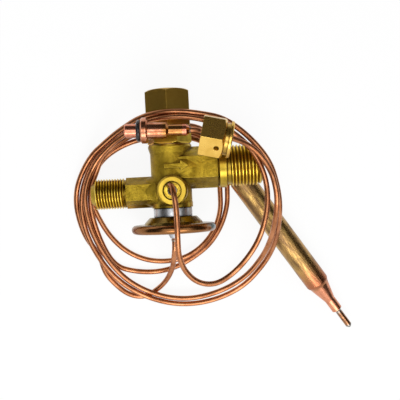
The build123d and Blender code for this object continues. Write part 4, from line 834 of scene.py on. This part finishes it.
# the thread's length, root radius, crest radius and pitch, and where it starts in the mouth
NUT_THREAD = (7.4, 7.02, 6.45, 1.27)
NUT_THREAD_START = 1.2
nut_finish = thread_finish("nut_thread_brass", centred(NUT_PLACE), NUT_THREAD[1], NUT_THREAD[2])
nut_thread = wind_thread("nut_thread", along(NUT_PLACE, (0, 0, NUT_THREAD_START)), *NUT_THREAD, nut_finish)
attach(nut_thread, "nut")


# Sensing bulb: a closed copper tube, spun down at both ends. Soldering coloured its shoulder red and
# brown, and gas is sealed in by a short pinched tube silver-soldered in its tail.
BULB_START = Vector((0.0365, -0.0115, 0.00668))
BULB_PLACE = Matrix.Translation(BULB_START) @ Matrix.Rotation(radians(-54.9), 4, "Z") @ Matrix.Rotation(
    radians(90), 4, "Y")
BULB_HEAT_FROM = 58.0
BULB_HEAT_FULL = 72.0
BULB_SHOULDER = 74.5
BULB_GOLD = (0.58, 0.37, 0.11, 1)
BULB_ORANGE = (0.44, 0.22, 0.09, 1)
BULB_BROWN = (0.20, 0.115, 0.05, 1)
BULB_RED = (0.42, 0.15, 0.07, 1)
CONE_LIGHT = (0.76, 0.33, 0.19, 1)
CONE_DARK = (0.56, 0.21, 0.11, 1)
bulb_copper, bulb_tree, bulb_shader = new_finish("bulb_copper", 0.2)
bulb_place = centred(BULB_PLACE)(bulb_tree)
bulb_at = apart(bulb_tree, bulb_place)
bulb_drawn = put(bulb_tree, "VectorMath", {0: bulb_place, 1: (1.0, 1.0, 0.22)}, operation="MULTIPLY")
bulb_long = bulb_drawn.outputs[0]
bulb_cloud = grouped(bulb_tree, stains, {"Place": bulb_long, "Size": 3.2})["Mask"]
bulb_fine = grouped(bulb_tree, stains, {"Place": bulb_long, "Size": 0.8})["Mask"]
bulb_patch = grouped(bulb_tree, stains, {"Place": bulb_long, "Size": 11.0})["Mask"]
bulb_metal = mixed(bulb_tree, bulb_patch, BULB_GOLD, BULB_ORANGE)
bulb_body = mixed(bulb_tree, bulb_cloud, bulb_metal, BULB_BROWN)
bulb_heat = least(
    bulb_tree, ramp(bulb_tree, bulb_at[2], BULB_HEAT_FROM, BULB_HEAT_FULL),
    ramp(bulb_tree, bulb_at[2], BULB_SHOULDER + 2.5, BULB_SHOULDER - 0.5))
bulb_red = mixed(bulb_tree, bulb_heat, bulb_body, BULB_RED)
bulb_cone = ramp(bulb_tree, bulb_at[2], BULB_SHOULDER, BULB_SHOULDER + 2.0)
bulb_pink = mixed(bulb_tree, bulb_fine, CONE_LIGHT, CONE_DARK)
bulb_tree.links.new(mixed(bulb_tree, bulb_cone, bulb_red, bulb_pink), bulb_shader["Base Color"])
bulb_tree.links.new(varied(bulb_tree, bulb_cloud, 0.22, 0.40), bulb_shader["Roughness"])
bulb_lines = grouped(bulb_tree, turned_lines, {"Place": bulb_place, "Fineness": 1.6})["Height"]
bulb_rise = put(bulb_tree, "Mix", {0: bulb_cone, 2: bulb_fine, 3: bulb_lines}, data_type="FLOAT")
roughened(bulb_tree, bulb_shader, bulb_rise.outputs[0], 0.00004)
dress(bulb_copper, "bulb_copper", "sensing_bulb")

BULB_TAIL_END = 93.6
CHARGE_END = 106.9
CHARGE_LIGHT = (0.40, 0.19, 0.09, 1)
CHARGE_DARK = (0.18, 0.085, 0.045, 1)
CHARGE_SOLDER = (0.30, 0.275, 0.24, 1)
charge_copper, charge_tree, charge_shader = new_finish("charge_copper", 0.22)
charge_place = centred(BULB_PLACE)(charge_tree)
charge_at = apart(charge_tree, charge_place)
charge_cloud = grouped(charge_tree, stains, {"Place": charge_place, "Size": 1.6})["Mask"]
charge_middle = mixed(charge_tree, charge_cloud, CHARGE_LIGHT, CHARGE_DARK)
charge_ends = most(
    charge_tree, ramp(charge_tree, charge_at[2], BULB_TAIL_END + 3.0, BULB_TAIL_END + 1.2),
    ramp(charge_tree, charge_at[2], CHARGE_END - 2.6, CHARGE_END - 1.4))
charge_tree.links.new(
    mixed(charge_tree, charge_ends, charge_middle, CHARGE_SOLDER), charge_shader["Base Color"])
roughened(charge_tree, charge_shader, charge_cloud, 0.00005)
dress(charge_copper, "copper", "bulb_charge_tube")
solder_ring("charge_solder", along(BULB_PLACE, (0, 0, BULB_TAIL_END)), 1.75, 2.9, 1.3, silver_solder)
BULB_NECK_END = 13.5
bulb_neck = along(BULB_PLACE @ Matrix.Rotation(pi, 4, "X"), (0, 0, BULB_NECK_END))
solder_ring("neck_solder", bulb_neck, TUBE_R, 2.55, 1.1, silver_solder)


# Inside pieces: the hard steel seat, needle, push rod and plate, the turned brass holder, retainer,
# spindle and spring seat, and the spring of drawn wire under the adjusting spindle.
needle_steel = turned_finish(
    "needle_steel", VALVE_CENTRED, (0.62, 0.62, 0.63, 1), (0.50, 0.50, 0.51, 1), 0.18, 3.0)
dress(needle_steel, "ring_steel", "orifice_seat", "valve_needle", "push_rod", "buffer_plate")
inner_brass = turned_finish("inner_brass", VALVE_CENTRED, TURNED_LIGHT, TURNED_DARK, 0.25, 4.0)
dress(inner_brass, "turned_brass", "needle_holder", "seal_retainer", "adjusting_spindle", "spring_seat")
spring_wire = turned_finish(
    "spring_wire", VALVE_CENTRED, (0.50, 0.50, 0.52, 1), (0.34, 0.34, 0.35, 1), 0.28, 1.5)
dress(spring_wire, "spring_steel", "superheat_spring")

for name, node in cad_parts.items():
    assert node.data.materials, name + " has no finish"
